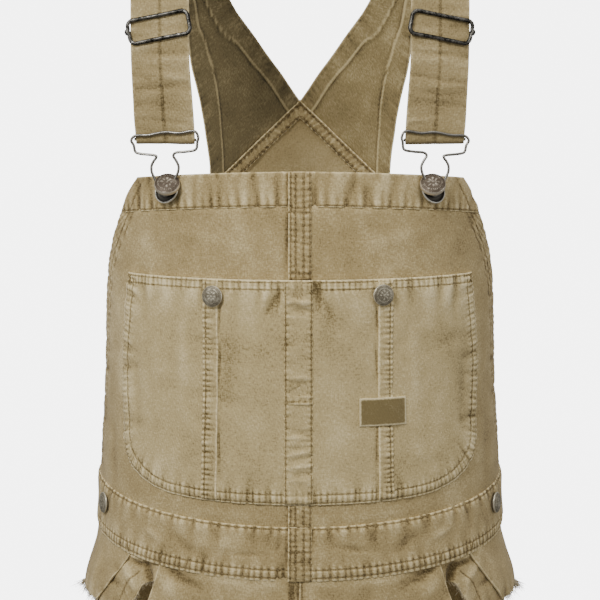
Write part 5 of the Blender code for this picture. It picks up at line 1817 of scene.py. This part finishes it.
def sew_straps(finish):
    """Each strap in one piece, with its selvedge edges, a stitched line down its middle and soft cross creases.
    """
    y, z, outer, inner, lean = strap_path(STRAP_SAMPLES)
    ahead = np.stack([np.gradient(y), np.gradient(z)], -1)
    ahead = ahead / np.linalg.norm(ahead, axis=-1, keepdims=True)
    run = np.concatenate([[0.0], np.cumsum(np.hypot(np.diff(y), np.diff(z)))])
    wide = STRAP_WIDTH
    step_down, step_across, *ruck = CLOTH_GRIDS["strap"]
    for name, side in SIDES:
        def surface(s, t, lift, side=side):
            rows = (y, z, outer, inner, lean, *ahead.T)
            read_at = [np.interp(t, run, values) for values in rows]
            at_y, at_z, at_outer, at_inner, at_lean, ahead_y, ahead_z = read_at
            share = s / wide
            out = STRAP_CLOTH + lift
            return np.stack([side * (at_inner + (at_outer - at_inner) * share),
                             at_y + ahead_z * out + at_lean * (share - 0.5), at_z - ahead_y * out], -1)

        t = np.linspace(0, run[-1], int(run[-1] / step_down))[:, None]
        s = wide * spacing(wide, step_across, 2.0, 2.0)[None, :] + 0 * t
        t = t + 0 * s
        if side < 0:
            s, t = s[:, ::-1], t[:, ::-1]
        first = even(np.array([[0.0, run[-1]], [0.0, 0.0]]), PATH_POINTS)
        second = even(np.array([[wide, 0.0], [wide, run[-1]]]), PATH_POINTS)
        centre = even(np.array([[0.5 * wide, 2.0], [0.5 * wide, run[-1] - 2]]), PATH_POINTS)
        sew("strap_cloth_" + name, ["strap_" + name], surface, s, t,
            [(first, "selvedge"), (second, "selvedge")], STRAP_CLOTH, finish["strap canvas"], "strap_canvas",
            ruck, lines=[centre], creases=strap_creases(side), held="folded", group="straps",
            seed=101 + side, puff=0.16)


def strap_creases(side):
    """Cross creases where the strap bends under the slider and above the buckle."""
    rng = np.random.default_rng(7 + side)
    return [(rng.uniform(4, 38), at, rng.uniform(-10, 10), rng.uniform(14, 34), rng.uniform(1.0, 2.8),
             rng.uniform(-0.9, 1.0)) for at in np.arange(60.0, 250.0, 4.0)]


LIGHTS = (
    # name, place, size, power
    ("key", (-1.0, -1.8, 1.3), 0.7, 50.0),
    ("left", (-2.1, -0.9, 0.1), 1.2, 8.0),
    ("right", (2.1, -1.0, 0.2), 1.4, 15.0),
    ("top", (0.3, -0.5, 2.0), 1.0, 16.0),
)
WORLD_STRENGTH = (0.22, 0.50)
CAMERA_PLACE = (0.0, -1.84896, -0.09373)
CAMERA_DROP = 7.0
CAMERA_LENS = 145.83
SENSOR_WIDTH = 36.0
LIGHT_AIM = (0, 0, -0.36)


def camera_and_light():
    """The photograph's angle and framing, soft light from the front and above, and a white world, brighter
    above.
    """
    data = bpy.data.cameras.new("camera")
    data.lens, data.sensor_width = CAMERA_LENS, SENSOR_WIDTH
    data.clip_start, data.clip_end = 0.05, 50.0
    camera = bpy.data.objects.new("camera", data)
    bpy.context.scene.collection.objects.link(camera)
    camera.location = CAMERA_PLACE
    camera.rotation_euler = (math.radians(90 - CAMERA_DROP), 0.0, 0.0)
    bpy.context.scene.camera = camera
    for name, where, size, power in LIGHTS:
        lamp = bpy.data.lights.new(name, "AREA")
        lamp.shape, lamp.size, lamp.energy = "SQUARE", size, power
        item = bpy.data.objects.new(name, lamp)
        item.location = where
        item.rotation_euler = (Vector(LIGHT_AIM) - Vector(where)).to_track_quat("-Z", "Y").to_euler()
        bpy.context.scene.collection.objects.link(item)
    world = bpy.data.worlds.new("world")
    world.use_nodes = True
    tree = world.node_tree
    towards = put(tree, "ShaderNodeTexCoord").outputs["Generated"]
    upwards = put(tree, "ShaderNodeSeparateXYZ", {0: towards}).outputs["Z"]
    strength = ranged(tree, upwards, -0.7, 0.8, *WORLD_STRENGTH)
    background = tree.nodes["Background"]
    background.inputs["Color"].default_value = (1.0, 1.0, 1.0, 1.0)
    tree.links.new(strength, background.inputs["Strength"])
    bpy.context.scene.world = world


FLOOR_LEVEL = -1.02
FLOOR_FRONT = -4.0
BEND_START = 2.2
BEND_RADIUS = 1.2
WALL_TOP = 4.0
HALF_SPAN = 5.0
SWEEP_SHADE = (0.92, 0.92, 0.92, 1.0)
SWEEP_GLOW = 5.0


def pale_sweep():
    """A pale floor that curves up behind into a wall: a profile of floor, arc and wall drawn out sideways."""
    bend = np.linspace(0, math.pi / 2, 13)
    y = np.concatenate([[FLOOR_FRONT], BEND_START + BEND_RADIUS * np.sin(bend), [BEND_START + BEND_RADIUS]])
    z = np.concatenate([[0.0], BEND_RADIUS * (1 - np.cos(bend)), [WALL_TOP]]) + FLOOR_LEVEL
    x = np.array([-HALF_SPAN, HALF_SPAN])
    points = np.stack(np.broadcast_arrays(x[None, :], y[:, None], z[:, None]), -1).reshape(-1, 3)
    index = np.arange(len(y) * 2).reshape(len(y), 2)
    quads = np.stack([index[:-1, 0], index[:-1, 1], index[1:, 1], index[1:, 0]], -1)
    material = bpy.data.materials.new("pale sweep")
    material.use_nodes = True
    shader = material.node_tree.nodes["Principled BSDF"]
    shader.inputs["Base Color"].default_value = SWEEP_SHADE
    shader.inputs["Roughness"].default_value = 0.9
    shader.inputs["Emission Color"].default_value = (1.0, 1.0, 1.0, 1.0)
    shader.inputs["Emission Strength"].default_value = SWEEP_GLOW
    item = mesh_item("sweep", points / MM, quads, material)
    item.visible_diffuse = False
    item.visible_glossy = False


def dress():
    """All finishes and pieces."""
    canvas, metal = washed_canvas(), aged_metal()
    finish = {}
    for name, (cloth, worn, deep, mottle) in CLOTHS.items():
        shades = {"Cloth": shade_of(*cloth), "Worn": shade_of(*worn), "Deep": shade_of(*deep),
                  "Mottle": mottle}
        finish[name] = finish_material(name, canvas, shades, 0.55, 0.0004, Sheen_Weight=0.10)
    for name, (dark, bright, rub, bare) in METALS.items():
        shades = {"Dark": shade_of(*dark), "Bright": shade_of(*bright), "Rub": rub}
        finish[name] = finish_material(name, metal, shades, 0.35, 0.0003, Metallic=bare)
    sew_bib(finish)
    sew_pocket(finish)
    sew_waist(finish)
    sew_hips(finish)
    sew_back(finish)
    sew_wings(finish)
    sew_straps(finish)
    for group, rows in stitch_rows.items():
        stitch_mesh("stitches_" + group, rows, finish["thread"])
    make_sliders(finish)
    make_buckles(finish)
    make_buttons(finish)


pale_sweep()
camera_and_light()
dress()
bpy.context.view_layer.update()
